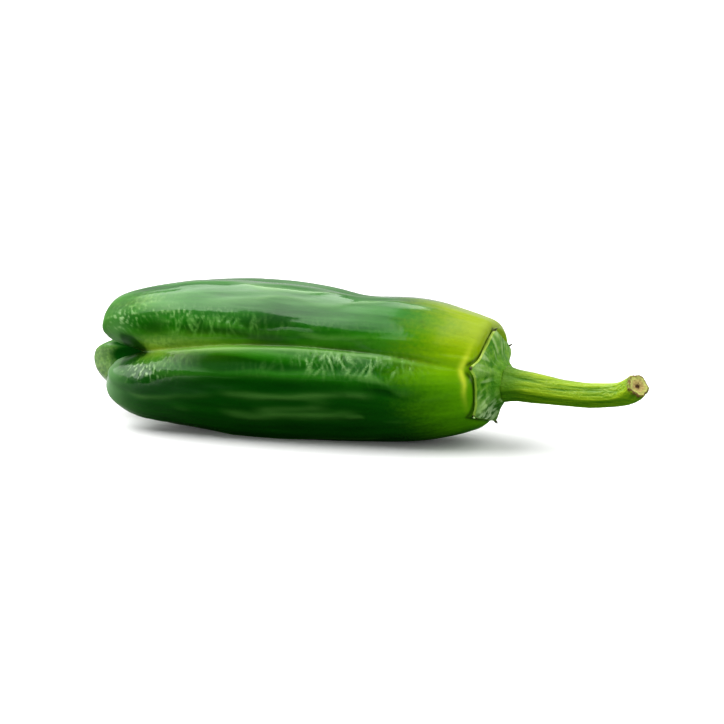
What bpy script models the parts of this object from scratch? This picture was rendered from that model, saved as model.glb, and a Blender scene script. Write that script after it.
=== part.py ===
"""Padron pepper: one pod with three lobes, its calyx cap and its cut stalk.

Lengths are in metres. The pod lies along X with the stalk towards +X and its front towards -Y. Angles
round the axis are in degrees: 0 is the front, 90 the top. The box of the whole part is centred over the
origin and rests on Z = 0.
"""
import math

import bmesh
import bpy
import numpy as np
from mathutils import Vector

MM = 0.001
COLLECTION_NAME = "padron_pepper"

# Pod outline over the crest of a lobe and along the bottom of a furrow, from the calyx seat round to the
# dimple between the lobe tips: (distance from the seat, distance from the axis) in mm
CREST_STATIONS = (
    (2.4, 0), (2.4, 3.5), (1.95, 6.2), (1.6, 7.2), (1.75, 7.9), (2.3, 8.5), (3.5, 9.05), (5.2, 9.65),
    (7.4, 10.3), (11.0, 11.05), (17.2, 11.7), (23.8, 12.1), (30.1, 12.4), (36.5, 12.6), (43.0, 12.5),
    (49.3, 12.0), (55.7, 11.15), (60.0, 10.3), (63.4, 9.0), (65.5, 7.6), (66.3, 6.1), (66.4, 4.7),
    (65.8, 3.5), (64.3, 2.6), (62.2, 1.9), (60.2, 1.1), (59.4, 0),
)
FURROW_STATIONS = (
    (2.4, 0), (2.4, 3.5), (1.95, 6.2), (1.65, 7.1), (1.9, 7.7), (2.6, 8.2), (3.8, 8.65), (5.4, 9.15),
    (7.5, 9.6), (11.0, 10.0), (17.2, 10.1), (23.8, 9.9), (30.1, 9.8), (36.5, 9.75), (43.0, 9.5), (49.0, 8.8),
    (54.6, 7.6), (57.4, 6.4), (58.9, 5.2), (59.6, 4.2), (60.0, 3.5), (60.2, 2.9), (60.15, 2.3), (59.95, 1.7),
    (59.7, 1.1), (59.5, 0.5), (59.4, 0),
)
# Lobes: (angle of the crest, extra length of the tip in mm)
LOBES = ((80.0, -1.2), (-54.0, -3.0), (222.0, 4.5))
# Furrows: (angle at the ends, swing of the angle at mid length, share of the full depth at mid length,
# narrowness at the tip)
FURROWS = ((12.5, 14.2, 1.0, 0.43), (149.0, -6.0, 0.75, 0.0), (266.0, -9.0, 0.22, 0.18))
FURROW_REACH = 62.0
FURROW_POWER = 2.1
CREASE_SHARE = 0.2
CREASE_WIDTH = 7.0
CREASE_ROUND = 1.5
# The furrows all reach full depth over this part of the length (mm)
FULL_DEPTH_START = 48.0
FULL_DEPTH_END = 61.0
# The lobes start to differ in length here (mm)
REACH_START = 36.0
REACH_END = 64.0
TIP_DIMPLE_RADIUS = 4.0
# Swellings and dents: (distance from the seat in mm, angle, height in mm, half length in mm, half width)
SWELLINGS = (
    (22.5, 101.0, -1.05, 4.0, 17.0),
    (34.0, 96.0, -0.5, 9.5, 5.5),
    (39.0, 113.0, 0.85, 11.5, 9.0),
    (7.0, 94.0, -0.4, 4.0, 25.0),
    (60.5, -66.0, 1.6, 5.5, 22.0),
    (69.5, 226.0, 3.0, 4.2, 30.0),
    (63.5, 78.0, 0.35, 3.0, 30.0),
    (52.0, 88.0, 0.35, 7.0, 14.0),
    (49.5, -74.0, -0.4, 4.0, 20.0),
    (45.0, 62.0, 0.25, 8.0, 12.0),
    (30.0, -1.0, 0.45, 17.0, 5.5),
    (52.0, -8.0, 0.3, 6.0, 11.0),
    (40.0, 45.0, -0.25, 12.0, 9.0),
    (26.0, -38.0, -0.25, 8.0, 9.0),
    (38.0, 182.0, 0.3, 9.0, 12.0),
    (20.0, 218.0, -0.35, 6.0, 12.0),
    (29.0, 264.0, 0.3, 14.0, 14.0),
)
# The calyx end of the pod turns a little towards the front and up
SEAT_TURN_FRONT = 0.1
SEAT_TURN_UP = 0.07
SEAT_TURN_LENGTH = 22.0
# Height of the small flats that the pod lies on, below its axis (mm)
REST_DEPTH = 11.6
POD_SEGMENTS = 84
POD_RINGS = 50
POD_RING_CROWDING = 0.35

# Calyx: a thin cap with six corners, (angle, distance from its centre in mm, lift of the corner in mm).
# A negative lift bends the corner back towards the pod.
CALYX_CORNERS = (
    (19.0, 8.9, -0.8), (82.0, 7.85, 0.1), (150.0, 7.3, -0.2), (205.0, 7.5, 0.1), (256.0, 7.9, 0.1),
    (321.0, 8.5, -0.35),
)
CALYX_EDGE_DIP = 1.3
CALYX_EDGE_FLATNESS = 0.8
CALYX_EDGE_SHARPNESS = 14
CALYX_EDGE_THICKNESS = 0.2
CALYX_THICKNESS = 0.55
CALYX_DROP = 0.4
CALYX_DOME = 0.9
CALYX_RIDGE = 0.7
CALYX_RIDGE_SHARPNESS = 4
CALYX_TIP_SHARPNESS = 8
CALYX_SEGMENTS = 72
CALYX_RINGS = 21
CALYX_RING_CROWDING = 0.8
SEAT_LIP_RADIUS = 7.2
NODE_GAP = 0.3

# The flat boss in the middle of the calyx, where the stalk stands (mm)
BOSS_RADIUS = 2.75
BOSS_HEIGHT = 0.45
BOSS_FILLET = 2.2
STALK_ROOT_DROP = 1.35

# Stalk: (along X, along Y, along Z, radius) in mm, from the boss to the cut end
STALK_STATIONS = (
    (0.0, 0.0, 0.0, 2.9), (1.4, 0.0, -0.1, 2.55), (4.0, 0.0, -0.35, 2.35), (7.7, -0.15, -0.7, 2.12),
    (11.9, -0.4, -0.92, 1.95), (15.9, -0.75, -0.77, 1.85), (18.9, -1.4, -0.22, 1.85), (21.1, -2.5, 0.8, 1.9),
    (22.2, -3.3, 1.7, 1.88),
)
STALK_RIBS = 5
STALK_RIB_SHARE = 0.055
STALK_RIB_TURN = 50.0
STALK_SEGMENTS = 36
STALK_SIDE_RINGS = 22
STALK_BEVEL = 0.22
STALK_ROOT_RINGS = (0.0, 0.55, 1.0)
# Inside the cut end: (share of the radius, share of the dish's depth)
STALK_END_RINGS = ((0.6, 0.4), (0.3, 0.85), (0.0, 1.0))
STALK_END_DISH = 0.3
STALK_STEP = 0.01
STALK_RINGS = len(STALK_ROOT_RINGS) + STALK_SIDE_RINGS + len(STALK_END_RINGS)

POD_COLOR = (0.035, 0.19, 0.02, 1.0)
CALYX_COLOR = (0.14, 0.3, 0.08, 1.0)
STALK_COLOR = (0.24, 0.42, 0.04, 1.0)


def clear_scene():
    for old in list(bpy.data.objects):
        bpy.data.objects.remove(old, do_unlink=True)


def smooth_curve(xs, ys, at):
    """Reads a natural cubic spline through the points at the places wanted."""
    xs, ys = np.asarray(xs, float), np.asarray(ys, float)
    count = len(xs)
    step = np.diff(xs)
    system = np.zeros((count, count))
    right = np.zeros(count)
    system[0, 0] = system[-1, -1] = 1.0
    for i in range(1, count - 1):
        system[i, i - 1:i + 2] = step[i - 1], 2.0 * (step[i - 1] + step[i]), step[i]
        right[i] = 6.0 * ((ys[i + 1] - ys[i]) / step[i] - (ys[i] - ys[i - 1]) / step[i - 1])
    bend = np.linalg.solve(system, right)
    k = np.clip(np.searchsorted(xs, at) - 1, 0, count - 2)
    d = at - xs[k]
    slope = (ys[k + 1] - ys[k]) / step[k] - step[k] * (2.0 * bend[k] + bend[k + 1]) / 6.0
    return ys[k] + slope * d + bend[k] / 2.0 * d ** 2 + (bend[k + 1] - bend[k]) / (6.0 * step[k]) * d ** 3


def smooth_step(start, end, value):
    t = np.clip((value - start) / (end - start), 0.0, 1.0)
    return t * t * (3.0 - 2.0 * t)


def turn_between(a, b):
    """Gives the signed angle from b to a, in degrees."""
    return (a - b + 180.0) % 360.0 - 180.0


def outline(t):
    """Reads both outlines at t, from 0 at the seat to 1 at the dimple."""
    crest = np.array(CREST_STATIONS, float)
    furrow = np.array(FURROW_STATIONS, float)
    along = np.concatenate([[0.0], np.cumsum(np.hypot(*np.diff(crest, axis=0).T))])
    along /= along[-1]
    return [smooth_curve(along, table[:, k], t) for table in (crest, furrow) for k in (0, 1)]


def furrow_weight(crest_u, angle):
    """Gives 0 on the crest of a lobe and 1 at the bottom of a full furrow."""
    to_tip = smooth_step(FULL_DEPTH_START, FULL_DEPTH_END, crest_u)
    swing = np.sin(math.pi * np.clip(crest_u / FULL_DEPTH_END, 0.0, 1.0))
    weight = np.zeros_like(crest_u)
    for place, sway, depth, narrowness in FURROWS:
        off = np.abs(turn_between(angle, place + sway * swing))
        off = np.sqrt(off ** 2 + CREASE_ROUND ** 2) - CREASE_ROUND
        near = np.clip(1.0 - off / FURROW_REACH, 0.0, 1.0)
        steep = near ** FURROW_POWER
        valley = steep + (smooth_step(narrowness, 1.0, near) - steep) * to_tip
        crease = np.exp(-off / CREASE_WIDTH)
        share = depth + (1.0 - depth) * to_tip
        weight += share * ((1.0 - CREASE_SHARE) * valley + CREASE_SHARE * crease)
    return np.clip(weight, 0.0, 1.0)


def lobe_reach(angle):
    """Blends the extra length of the lobe tips round the pod."""
    total = np.zeros_like(angle)
    reach = np.zeros_like(angle)
    for place, extra in LOBES:
        near = 1.0 - smooth_step(0.0, 120.0, np.abs(turn_between(angle, place)))
        total += near
        reach += near * extra
    return reach / total


def swelling_height(u, angle):
    height = np.zeros_like(u)
    for place, middle, rise, half_length, half_width in SWELLINGS:
        off_u = (u - place) / half_length
        off_angle = turn_between(angle, middle) / half_width
        height += rise * np.exp(-0.5 * (off_u ** 2 + off_angle ** 2))
    return height


def seat_turn(y, z, u):
    """Gives the shift along X that turns the calyx end of the pod."""
    near = 1.0 - smooth_step(0.0, SEAT_TURN_LENGTH, u)
    return near * (SEAT_TURN_FRONT * y + SEAT_TURN_UP * z)


def pod_points(t, angle):
    """Gives the pod's surface in mm, with its seat at X = 0."""
    crest_u, crest_r, furrow_u, furrow_r = outline(t)
    weight = furrow_weight(crest_u, angle)
    u = crest_u + (furrow_u - crest_u) * weight
    r = crest_r + (furrow_r - crest_r) * weight
    ramp = smooth_step(REACH_START, REACH_END, crest_u) * np.clip(r / TIP_DIMPLE_RADIUS, 0.0, 1.0)
    u = u + lobe_reach(angle) * ramp
    r = r + swelling_height(u, angle) * np.clip(r / TIP_DIMPLE_RADIUS, 0.0, 1.0)
    y = -r * np.cos(np.radians(angle))
    z = r * np.sin(np.radians(angle))
    x = -u + seat_turn(y, z, u)
    return np.stack([x, y, np.maximum(z, -REST_DEPTH)], axis=1)


def seat_height(r):
    """Gives how far the pod's seat lies below X = 0 at a distance from the axis, in mm."""
    stations = [(rho, u) for u, rho in CREST_STATIONS if rho <= SEAT_LIP_RADIUS][:4]
    rhos, depths = zip(*stations)
    return smooth_curve(rhos, depths, np.clip(r, 0.0, SEAT_LIP_RADIUS))


def calyx_edge(angle):
    """Gives the distance to the calyx's edge, the place between two corners from 0 to 1 and the tips' lift."""
    corners = np.array(sorted(CALYX_CORNERS))
    before = np.searchsorted(corners[:, 0], angle % 360.0, side="right") - 1
    first = corners[before]
    last = corners[(before + 1) % len(corners)]
    place = ((angle - first[:, 0]) % 360.0) / ((last[:, 0] - first[:, 0]) % 360.0)
    edge = first[:, 1] + (last[:, 1] - first[:, 1]) * place
    lift = first[:, 2] + (last[:, 2] - first[:, 2]) * place
    return edge - CALYX_EDGE_DIP * np.sin(math.pi * place) ** CALYX_EDGE_FLATNESS, place, lift


def calyx_points(latitude, angle):
    """Gives the calyx in mm: the upper half of the sphere is its outer face, the lower half its underside."""
    edge, place, lift = calyx_edge(angle)
    share = np.cos(latitude) ** CALYX_RING_CROWDING
    rho = edge * share
    y = -rho * np.cos(np.radians(angle))
    z = rho * np.sin(np.radians(angle)) - CALYX_DROP
    under = NODE_GAP - seat_height(np.hypot(y, z))
    at_corner = np.cos(math.pi * place) ** 2
    swell = np.clip(1.0 - share ** CALYX_EDGE_SHARPNESS, 0.0, 1.0) ** 0.5
    top = NODE_GAP - seat_height(SEAT_LIP_RADIUS) + CALYX_DOME * (1.0 - share ** 2)
    top = top + CALYX_EDGE_THICKNESS + (CALYX_THICKNESS - CALYX_EDGE_THICKNESS) * swell
    top = top + CALYX_RIDGE * at_corner ** CALYX_RIDGE_SHARPNESS * share * (1.0 - share ** 2)
    from_stalk = np.hypot(y, z + STALK_ROOT_DROP)
    boss = 1.0 - smooth_step(BOSS_RADIUS, BOSS_RADIUS + BOSS_FILLET, from_stalk)
    top = top + (BOSS_HEIGHT - top) * boss
    tip = lift * (at_corner * share) ** CALYX_TIP_SHARPNESS
    x = np.where(latitude > 0.0, top, under) + tip + SEAT_TURN_FRONT * y + SEAT_TURN_UP * z
    return np.stack([x, y, z], axis=1)


def stalk_rings():
    """Lists the stalk's rings: (place along its line, share of the radius, shift along the line)."""
    bevel_share = 1.0 - STALK_BEVEL / STALK_STATIONS[-1][3]
    rings = [(0.0, share, 0.0) for share in STALK_ROOT_RINGS]
    rings += [(k / STALK_SIDE_RINGS, 1.0, 0.0) for k in range(1, STALK_SIDE_RINGS)]
    rings += [(1.0, 1.0, -STALK_BEVEL), (1.0, bevel_share, 0.0)]
    rings += [(1.0, share, -STALK_END_DISH * depth) for share, depth in STALK_END_RINGS]
    return rings


def stalk_line(s):
    """Reads the stalk's centre, direction and radius at s, from 0 at the root to 1 at the cut end."""
    table = np.array(STALK_STATIONS, float)
    along = np.concatenate([[0.0], np.cumsum(np.linalg.norm(np.diff(table[:, :3], axis=0), axis=1))])
    along /= along[-1]

    def read(at):
        return Vector([float(smooth_curve(along, table[:, k], np.array([at]))[0]) for k in range(3)])

    direction = (read(min(s + STALK_STEP, 1.0)) - read(max(s - STALK_STEP, 0.0))).normalized()
    radius = float(smooth_curve(along, table[:, 3], np.array([s]))[0])
    return read(s), direction, radius


def stalk_points(ring_of, angle):
    """Gives the stalk in mm, one ring of a sphere for each entry of stalk_rings()."""
    rings = stalk_rings()
    root = Vector((BOSS_HEIGHT + NODE_GAP, 0.0, -STALK_ROOT_DROP))
    points = []
    for ring, turn in zip(ring_of, angle):
        s, share, shift = rings[ring]
        centre, direction, radius = stalk_line(s)
        if s == 0.0:
            direction = Vector((1.0, -SEAT_TURN_FRONT, -SEAT_TURN_UP)).normalized()
        side = direction.cross(Vector((0.0, 0.0, 1.0))).normalized()
        above = side.cross(direction).normalized()
        rib = 1.0 + STALK_RIB_SHARE * math.cos(math.radians(STALK_RIBS * turn + STALK_RIB_TURN * s))
        r = radius * share * rib
        across = side * math.cos(math.radians(turn)) + above * math.sin(math.radians(turn))
        points.append(root + centre + direction * shift + across * r)
    return np.array([p[:] for p in points])


def sphere_node(name, segments, rings, place, color, roughness, collection):
    """Makes a node from a sphere whose vertices are moved by the place function, given in mm."""
    bm = bmesh.new()
    bmesh.ops.create_uvsphere(bm, u_segments=segments, v_segments=rings, radius=1.0)
    ball = np.array([v.co[:] for v in bm.verts])
    down = np.arccos(np.clip(ball[:, 2], -1.0, 1.0)) / math.pi
    angle = np.degrees(np.arctan2(ball[:, 1], ball[:, 0]))
    for vert, point in zip(bm.verts, place(down, angle) * MM):
        vert.co = point
    bmesh.ops.triangulate(bm, faces=bm.faces)
    bmesh.ops.recalc_face_normals(bm, faces=bm.faces)
    for face in bm.faces:
        face.smooth = True
    mesh = bpy.data.meshes.new(name)
    bm.to_mesh(mesh)
    bm.free()
    material = bpy.data.materials.new(name)
    material.use_nodes = True
    shader = material.node_tree.nodes["Principled BSDF"]
    shader.inputs["Base Color"].default_value = color
    shader.inputs["Roughness"].default_value = roughness
    shader.inputs["Metallic"].default_value = 0.0
    mesh.materials.append(material)
    node = bpy.data.objects.new(name, mesh)
    collection.objects.link(node)
    return node


def place_pod(down, angle):
    t = down - POD_RING_CROWDING * np.sin(2.0 * math.pi * down) / (2.0 * math.pi)
    return pod_points(t, angle)


def place_calyx(down, angle):
    return calyx_points(math.pi / 2.0 - down * math.pi, angle)


def place_stalk(down, angle):
    return stalk_points(np.rint(down * STALK_RINGS).astype(int), angle)


def rest_over_origin(nodes):
    """Moves the meshes so that the box of the whole part is centred over the origin and rests on Z = 0."""
    points = np.array([v.co[:] for node in nodes for v in node.data.vertices])
    low, high = points.min(axis=0), points.max(axis=0)
    shift = Vector((-(low[0] + high[0]) / 2.0, -(low[1] + high[1]) / 2.0, -low[2]))
    for node in nodes:
        for vert in node.data.vertices:
            vert.co += shift


def build():
    clear_scene()
    collection = bpy.data.collections.new(COLLECTION_NAME)
    bpy.context.scene.collection.children.link(collection)
    nodes = [
        sphere_node("pod", POD_SEGMENTS, POD_RINGS, place_pod, POD_COLOR, 0.3, collection),
        sphere_node("calyx", CALYX_SEGMENTS, CALYX_RINGS, place_calyx, CALYX_COLOR, 0.6, collection),
        sphere_node("stalk", STALK_SEGMENTS, STALK_RINGS, place_stalk, STALK_COLOR, 0.5, collection),
    ]
    rest_over_origin(nodes)


build()
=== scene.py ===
"""Looks of a padron pepper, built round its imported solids.

The pod lies along X with its stalk towards +X, its front towards -Y and its top towards +Z. The tables are
in millimetres: u is the distance along the pod from the calyx seat towards the tip. Angles round the pod
are in degrees, 0 at the front and 90 at the top. Finished meshes are in metres, where the solids are.
"""

import logging
import math
from dataclasses import astuple, dataclass, field
from enum import Enum
from typing import ClassVar

import bmesh
import bpy
import numpy as np
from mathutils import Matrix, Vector


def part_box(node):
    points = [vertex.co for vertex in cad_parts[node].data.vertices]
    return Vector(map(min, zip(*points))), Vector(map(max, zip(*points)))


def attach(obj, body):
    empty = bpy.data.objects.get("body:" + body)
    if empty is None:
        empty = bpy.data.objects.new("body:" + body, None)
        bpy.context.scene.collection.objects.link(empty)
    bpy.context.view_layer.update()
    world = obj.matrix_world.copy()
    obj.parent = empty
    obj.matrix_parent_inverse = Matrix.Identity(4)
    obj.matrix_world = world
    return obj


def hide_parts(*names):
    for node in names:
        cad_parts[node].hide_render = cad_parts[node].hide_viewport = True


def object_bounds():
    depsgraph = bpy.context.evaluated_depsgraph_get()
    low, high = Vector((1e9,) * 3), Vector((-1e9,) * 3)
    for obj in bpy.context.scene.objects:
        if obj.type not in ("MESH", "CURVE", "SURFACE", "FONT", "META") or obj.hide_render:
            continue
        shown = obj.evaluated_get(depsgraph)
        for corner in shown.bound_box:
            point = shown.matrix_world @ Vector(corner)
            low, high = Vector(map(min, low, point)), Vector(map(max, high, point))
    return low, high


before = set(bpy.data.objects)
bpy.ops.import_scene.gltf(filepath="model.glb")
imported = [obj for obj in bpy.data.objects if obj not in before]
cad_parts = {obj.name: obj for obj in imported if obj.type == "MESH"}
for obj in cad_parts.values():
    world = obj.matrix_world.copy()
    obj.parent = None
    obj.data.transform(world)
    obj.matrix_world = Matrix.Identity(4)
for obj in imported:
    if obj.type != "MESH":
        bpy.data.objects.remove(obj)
cad_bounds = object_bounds()

MM = 0.001
BODY = "root"
LOG = logging.getLogger("padron_pepper")
Span = tuple[float, float]
Color = tuple[float, float, float, float]
Feed = bpy.types.NodeSocket | float | Color


class Slot(Enum):
    """Material slots of the record."""

    POD = "pod"
    CALYX = "calyx"
    STALK = "stalk"


# Numbers over a surface

@dataclass(frozen=True)
class SmoothCurve:
    """A natural cubic spline through a table of points."""

    xs: tuple[float, ...]
    ys: tuple[float, ...]

    def at(self, places: np.ndarray) -> np.ndarray:
        """Reads the curve.

        Args:
            places: where to read it, in the units of xs.

        Returns:
            The heights there.
        """
        xs, ys = np.array(self.xs, float), np.array(self.ys, float)
        count = len(xs)
        step = np.diff(xs)
        system = np.zeros((count, count))
        right = np.zeros(count)
        system[0, 0] = system[-1, -1] = 1.0
        for i in range(1, count - 1):
            system[i, i - 1:i + 2] = step[i - 1], 2.0 * (step[i - 1] + step[i]), step[i]
            right[i] = 6.0 * ((ys[i + 1] - ys[i]) / step[i] - (ys[i] - ys[i - 1]) / step[i - 1])
        bend = np.linalg.solve(system, right)
        k = np.clip(np.searchsorted(xs, places) - 1, 0, count - 2)
        d = places - xs[k]
        slope = (ys[k + 1] - ys[k]) / step[k] - step[k] * (2.0 * bend[k] + bend[k + 1]) / 6.0
        return ys[k] + slope * d + bend[k] / 2.0 * d**2 + (bend[k + 1] - bend[k]) / (6.0 * step[k]) * d**3


def smooth_step(start: float, end: float, value: np.ndarray) -> np.ndarray:
    """Ramps smoothly from 0, where the value is start, to 1, where it is end."""
    t = np.clip((value - start) / (end - start), 0.0, 1.0)
    return t * t * (3.0 - 2.0 * t)


def bell(value: np.ndarray, centre: float, width: float) -> np.ndarray:
    """Gives a bell curve that is 1 at its centre and 1 / e a width away from it."""
    return np.exp(-(((value - centre) / width) ** 2))


def turn_between(a: np.ndarray, b: np.ndarray | float) -> np.ndarray:
    """Gives the signed angle from b to a, from -180 to 180 degrees."""
    return (a - b + 180.0) % 360.0 - 180.0


def around(radius: np.ndarray, angle: np.ndarray) -> tuple[np.ndarray, np.ndarray]:
    """Gives Y and Z of places at a distance and an angle round the pepper's long axis."""
    return -radius * np.cos(np.radians(angle)), radius * np.sin(np.radians(angle))


def shares_along(points: np.ndarray) -> tuple[tuple[float, ...], float]:
    """Measures the way along a row of points.

    Args:
        points: one point to a row of the array.

    Returns:
        Each point's share of the whole way, and the length of that way.
    """
    steps = np.linalg.norm(np.diff(points, axis=0), axis=1)
    along = np.concatenate([[0.0], np.cumsum(steps)])
    return tuple(along / along[-1]), float(along[-1])


def box_in_mm(box: tuple[Vector, Vector]) -> list[np.ndarray]:
    """Gives the low and the high corner of a box in mm."""
    return [np.array(corner[:]) / MM for corner in box]


@dataclass(frozen=True)
class Grain:
    """Seeded gradient noise on a sheet that wraps round in its second direction."""

    seed: int
    cell: float
    cells_round: int
    height: float = 1.0
    first_row: ClassVar[float] = 3.0
    spare_rows: ClassVar[int] = 3
    gain: ClassVar[float] = 1.5

    @staticmethod
    def fade(t: np.ndarray) -> np.ndarray:
        """Goes from 0 to 1 without a kink at either end."""
        return t**3 * (t * (t * 6.0 - 15.0) + 10.0)

    def at(self, along: np.ndarray, turn: np.ndarray) -> np.ndarray:
        """Reads the noise.

        Args:
            along: distance along the sheet in mm.
            turn: place round it, where 0 and 1 are the same.

        Returns:
            Heights, from about minus the grain's height to plus that height.
        """
        x = along / self.cell + self.first_row
        y = (turn % 1.0) * self.cells_round
        rows = int(x.max()) + self.spare_rows
        draw = np.random.default_rng(self.seed).uniform(0.0, 2.0 * math.pi, (rows, self.cells_round))
        lean_x, lean_y = np.cos(draw), np.sin(draw)
        row, col = np.floor(x).astype(int), np.floor(y).astype(int)
        fx, fy = x - row, y - col
        fade_x, fade_y = self.fade(fx), self.fade(fy)
        total = np.zeros_like(x)
        for dx in (0, 1):
            for dy in (0, 1):
                r, c = np.clip(row + dx, 0, rows - 1), (col + dy) % self.cells_round
                dot = lean_x[r, c] * (fx - dx) + lean_y[r, c] * (fy - dy)
                share_x = fade_x if dx else 1.0 - fade_x
                share_y = fade_y if dy else 1.0 - fade_y
                total += share_x * share_y * dot
        return total * self.gain * self.height


@dataclass(frozen=True)
class Patch:
    """A soft oval patch on the pod, such as a swelling, a dent or a wrinkled place."""

    u: float
    angle: float
    height: float
    half_length: float
    half_width: float

    def at(self, u: np.ndarray, angle: np.ndarray) -> np.ndarray:
        """Reads the patch.

        Args:
            u: distance from the seat in mm.
            angle: angle round the pod.

        Returns:
            The patch's height at each place.
        """
        off_u = (u - self.u) / self.half_length
        off_angle = turn_between(angle, self.angle) / self.half_width
        return self.height * np.exp(-0.5 * (off_u**2 + off_angle**2))


def coverage(patches: tuple[Patch, ...], u: np.ndarray, angle: np.ndarray) -> np.ndarray:
    """Adds up patches at each place of the pod and keeps their sum from 0 to 1."""
    return np.clip(sum(patch.at(u, angle) for patch in patches), 0.0, 1.0)


# Meshes

def make_object(name: str, bm: bmesh.types.BMesh) -> bpy.types.Object:
    """Makes a smooth-shaded object from a bmesh and frees the bmesh.

    Args:
        name: the object's name.
        bm: its shape.

    Returns:
        The object, which is linked to the scene.
    """
    for face in bm.faces:
        face.smooth = True
    mesh = bpy.data.meshes.new(name)
    bm.to_mesh(mesh)
    bm.free()
    piece = bpy.data.objects.new(name, mesh)
    bpy.context.scene.collection.objects.link(piece)
    return piece


@dataclass
class Sheet:
    """A closed sheet, from a top pole round to a bottom pole, that the pepper's pieces are shaped from."""

    segments: int
    rings: int
    bm: bmesh.types.BMesh = field(init=False)
    down: np.ndarray = field(init=False)
    angle: np.ndarray = field(init=False)
    merge_distance: ClassVar[float] = 1e-8

    def __post_init__(self) -> None:
        """Makes the grid and reads the place of each vertex on it."""
        self.bm = bmesh.new()
        bmesh.ops.create_grid(self.bm, x_segments=self.segments, y_segments=self.rings, size=0.5)
        place = np.array([vert.co[:] for vert in self.bm.verts]) + 0.5
        self.down = np.rint(place[:, 1] * self.rings) / self.rings
        self.angle = np.rint(place[:, 0] * self.segments) * 360.0 / self.segments - 180.0

    def finish(self, name: str, points: np.ndarray, fields: dict[str, np.ndarray]) -> bpy.types.Object:
        """Moves the vertices to their places and closes the seam and the poles.

        Args:
            name: the object's name.
            points: the place of each vertex, in mm.
            fields: values at each vertex for the material, by name.

        Returns:
            The finished object.
        """
        layers = [(self.bm.verts.layers.float.new(key), values) for key, values in fields.items()]
        for index, (vert, point) in enumerate(zip(self.bm.verts, points * MM)):
            vert.co = point
            for layer, values in layers:
                vert[layer] = values[index]
        bmesh.ops.remove_doubles(self.bm, verts=self.bm.verts, dist=self.merge_distance)
        bmesh.ops.recalc_face_normals(self.bm, faces=self.bm.faces)
        return make_object(name, self.bm)


# The pod

@dataclass
class PodSurface:
    """Numbers of the pod's bare surface at each vertex, in mm and degrees.

    u and r are the distances from the seat and from the axis, weight is how much of a full furrow there is,
    and along is the way along the outline.
    """

    u: np.ndarray
    r: np.ndarray
    angle: np.ndarray
    weight: np.ndarray
    along: np.ndarray


@dataclass(frozen=True)
class Lobe:
    """One lobe of the pod: its angle, and how far its tip reaches past the crest table."""

    angle: float
    reach: float


@dataclass(frozen=True)
class Furrow:
    """A furrow between two lobes: its angle at the seat, its swing from there, its depth and narrowness."""

    angle: float
    swing: float
    depth: float
    narrowness: float


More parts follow.
